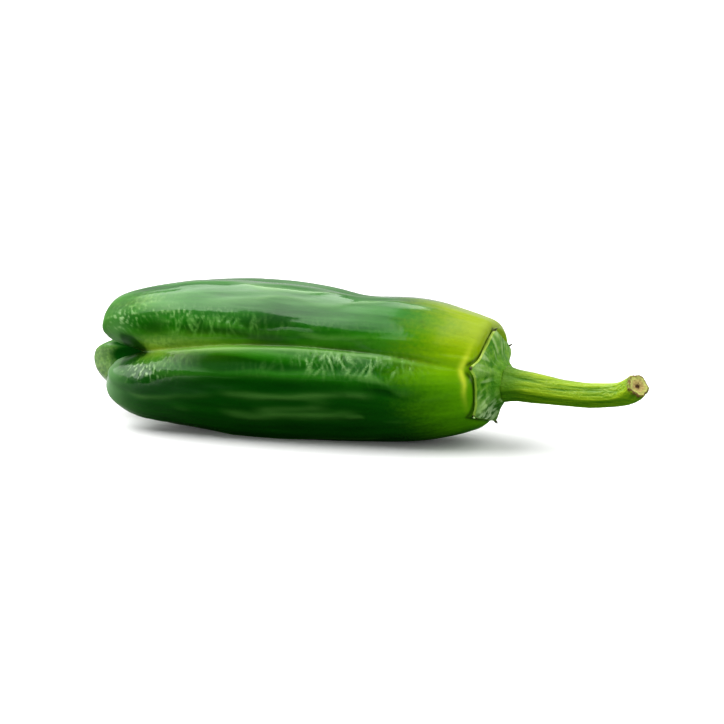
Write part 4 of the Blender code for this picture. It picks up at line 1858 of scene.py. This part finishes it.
@dataclass(frozen=True)
class Studio:
    """Floor, light and camera."""

    azimuth: float = 17.0
    elevation: float = 12.0
    distance: float = 0.8
    frame_width: float = 0.1145
    sensor: float = 36.0
    clip_start: float = 0.01
    floor_size: float = 6.0
    paper: Color = (0.9, 0.9, 0.9, 1.0)
    paper_roughness: float = 0.9
    near_tone: Color = (0.05, 0.16, 0.04, 1.0)
    far_tone: Color = (0.5, 0.5, 0.5, 1.0)
    oval_scale: tuple[float, float, float] = (13.0, 6.0, 0.0)
    oval_centre: tuple[float, float, float] = (0.35, -0.35, 0.0)
    oval_edge: Ramp = Ramp(0.7, 1.15)
    white: Color = (1.0, 1.0, 1.0, 1.0)
    world_light: float = 0.05
    world_seen: float = 0.95
    softboxes: tuple[Softbox, ...] = (
        Softbox("overhead", (-0.6, 0.055, 0.6), (-0.6, 0.055, 0.0), 1.0, 1.19, 3.8),
        Softbox("right_overhead", (0.6, 0.0, 0.6), (0.6, 0.0, 0.0), 1.1, 1.4, 1.4),
        Softbox("right_side", (1.1, -0.3, 0.2), (0.0, 0.0, 0.0), 0.8, 0.5, 1.8),
        Softbox("rear", (0.0, 1.0, 0.35), (0.0, 0.0, 0.05), 2.4, 0.7, 0.58),
        Softbox("left_side", (-1.0, 0.1, 0.3), (0.0, 0.0, 0.05), 1.2, 0.6, 0.7),
        Softbox("left_fill", (-0.9, -0.6, 0.2), (0.0, 0.0, 0.0), 0.8, 0.4, 2.6, False),
        Softbox("front_fill", (-0.1, -1.3, 0.3), (0.0, 0.0, 0.0), 1.8, 0.6, 1.25, False),
        Softbox("right_fill", (0.8, -0.8, 0.08), (0.0, 0.0, 0.0), 0.6, 0.3, 2.6, False),
    )

    def floor(self) -> None:
        """Makes the floor: white to the camera, and to other rays green near the pepper and grey far off."""
        bm = bmesh.new()
        bmesh.ops.create_grid(bm, x_segments=1, y_segments=1, size=self.floor_size / 2.0)
        floor = make_object("floor", bm)
        material, bench, shader = new_material("floor_paper")
        shader.inputs["Base Color"].default_value = self.paper
        shader.inputs["Roughness"].default_value = self.paper_roughness
        oval = bench.add("ShaderNodeVectorMath", operation="MULTIPLY")
        bench.feed(oval.inputs[0], bench.add("ShaderNodeTexCoord").outputs["Object"])
        oval.inputs[1].default_value = self.oval_scale
        off = bench.add("ShaderNodeVectorMath", operation="DISTANCE")
        bench.feed(off.inputs[0], oval.outputs[0])
        off.inputs[1].default_value = self.oval_centre
        toned = bench.add("ShaderNodeBsdfDiffuse")
        tone = bench.lay(self.near_tone, self.far_tone, bench.ramp(off.outputs["Value"], self.oval_edge))
        bench.feed(toned.inputs["Color"], tone)
        seen = bench.add("ShaderNodeMixShader")
        bench.feed(seen.inputs[0], bench.add("ShaderNodeLightPath").outputs["Is Camera Ray"])
        bench.feed(seen.inputs[1], toned.outputs[0])
        bench.feed(seen.inputs[2], shader.outputs[0])
        bench.feed(material.node_tree.nodes["Material Output"].inputs["Surface"], seen.outputs[0])
        floor.data.materials.append(material)

    def world(self) -> None:
        """Makes the white surroundings, dimmer for the light that they give."""
        world = bpy.data.worlds.new("studio")
        bpy.context.scene.world = world
        world.use_nodes = True
        bench = NodeBench(world.node_tree)
        background = world.node_tree.nodes["Background"]
        background.inputs["Color"].default_value = self.white
        seen = bench.add("ShaderNodeLightPath").outputs["Is Camera Ray"]
        strength = bench.math("ADD", bench.math("MULTIPLY", seen, self.world_seen), self.world_light)
        bench.feed(background.inputs["Strength"], strength)

    def camera(self) -> None:
        """Places the camera at the photograph's viewing angle."""
        azimuth, elevation = math.radians(self.azimuth), math.radians(self.elevation)
        level = math.cos(elevation)
        back = Vector((math.sin(azimuth) * level, -math.cos(azimuth) * level, math.sin(elevation)))
        lens = bpy.data.cameras.new("camera")
        lens.sensor_width = self.sensor
        lens.lens = self.sensor * self.distance / self.frame_width
        lens.clip_start = self.clip_start
        lens.dof.use_dof = False
        camera = bpy.data.objects.new("camera", lens)
        low, high = (Vector(corner) for corner in cad_bounds)
        camera.location = (low + high) / 2.0 + back * self.distance
        camera.rotation_euler = (-back).to_track_quat("-Z", "Y").to_euler()
        bpy.context.scene.collection.objects.link(camera)
        bpy.context.scene.camera = camera

    def build(self) -> None:
        """Makes the whole studio."""
        self.floor()
        self.world()
        for softbox in self.softboxes:
            softbox.build()
        self.camera()
        view = bpy.context.scene.view_settings
        view.view_transform = "Standard"
        view.look = "Medium High Contrast"


def dress(piece: bpy.types.Object, node: str, material: bpy.types.Material) -> None:
    """Gives a piece its finish and puts it in the place of its solid.

    Args:
        piece: the finished mesh object.
        node: the solid that it stands for.
        material: its finish.
    """
    piece.data.materials.append(material)
    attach(piece, BODY)
    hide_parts(node)
    LOG.info("%s: %d vertices in place of %s", piece.name, len(piece.data.vertices), node)


def main() -> None:
    """Builds the pepper and its studio in order."""
    logging.basicConfig(level=logging.INFO, format="%(name)s %(message)s")
    effects = Effects(streaks=streaks_effect(), specks=specks_effect())
    pod = Pod(PodForm(), Wrinkles())
    shift = pod.shift()
    calyx, calyx_skin = Calyx(pod.form, shift), CalyxSkin()
    dress(pod.build(calyx), "pod", PodSkin().material(effects))
    dress(calyx.build(), "calyx", calyx_skin.material(effects))
    dress(SepalTips(calyx).build(), "calyx", calyx_skin.dried_material(effects))
    dress(Stalk(shift).build(), "stalk", StalkSkin().material(effects))
    Studio().build()


if __name__ == "__main__":
    main()
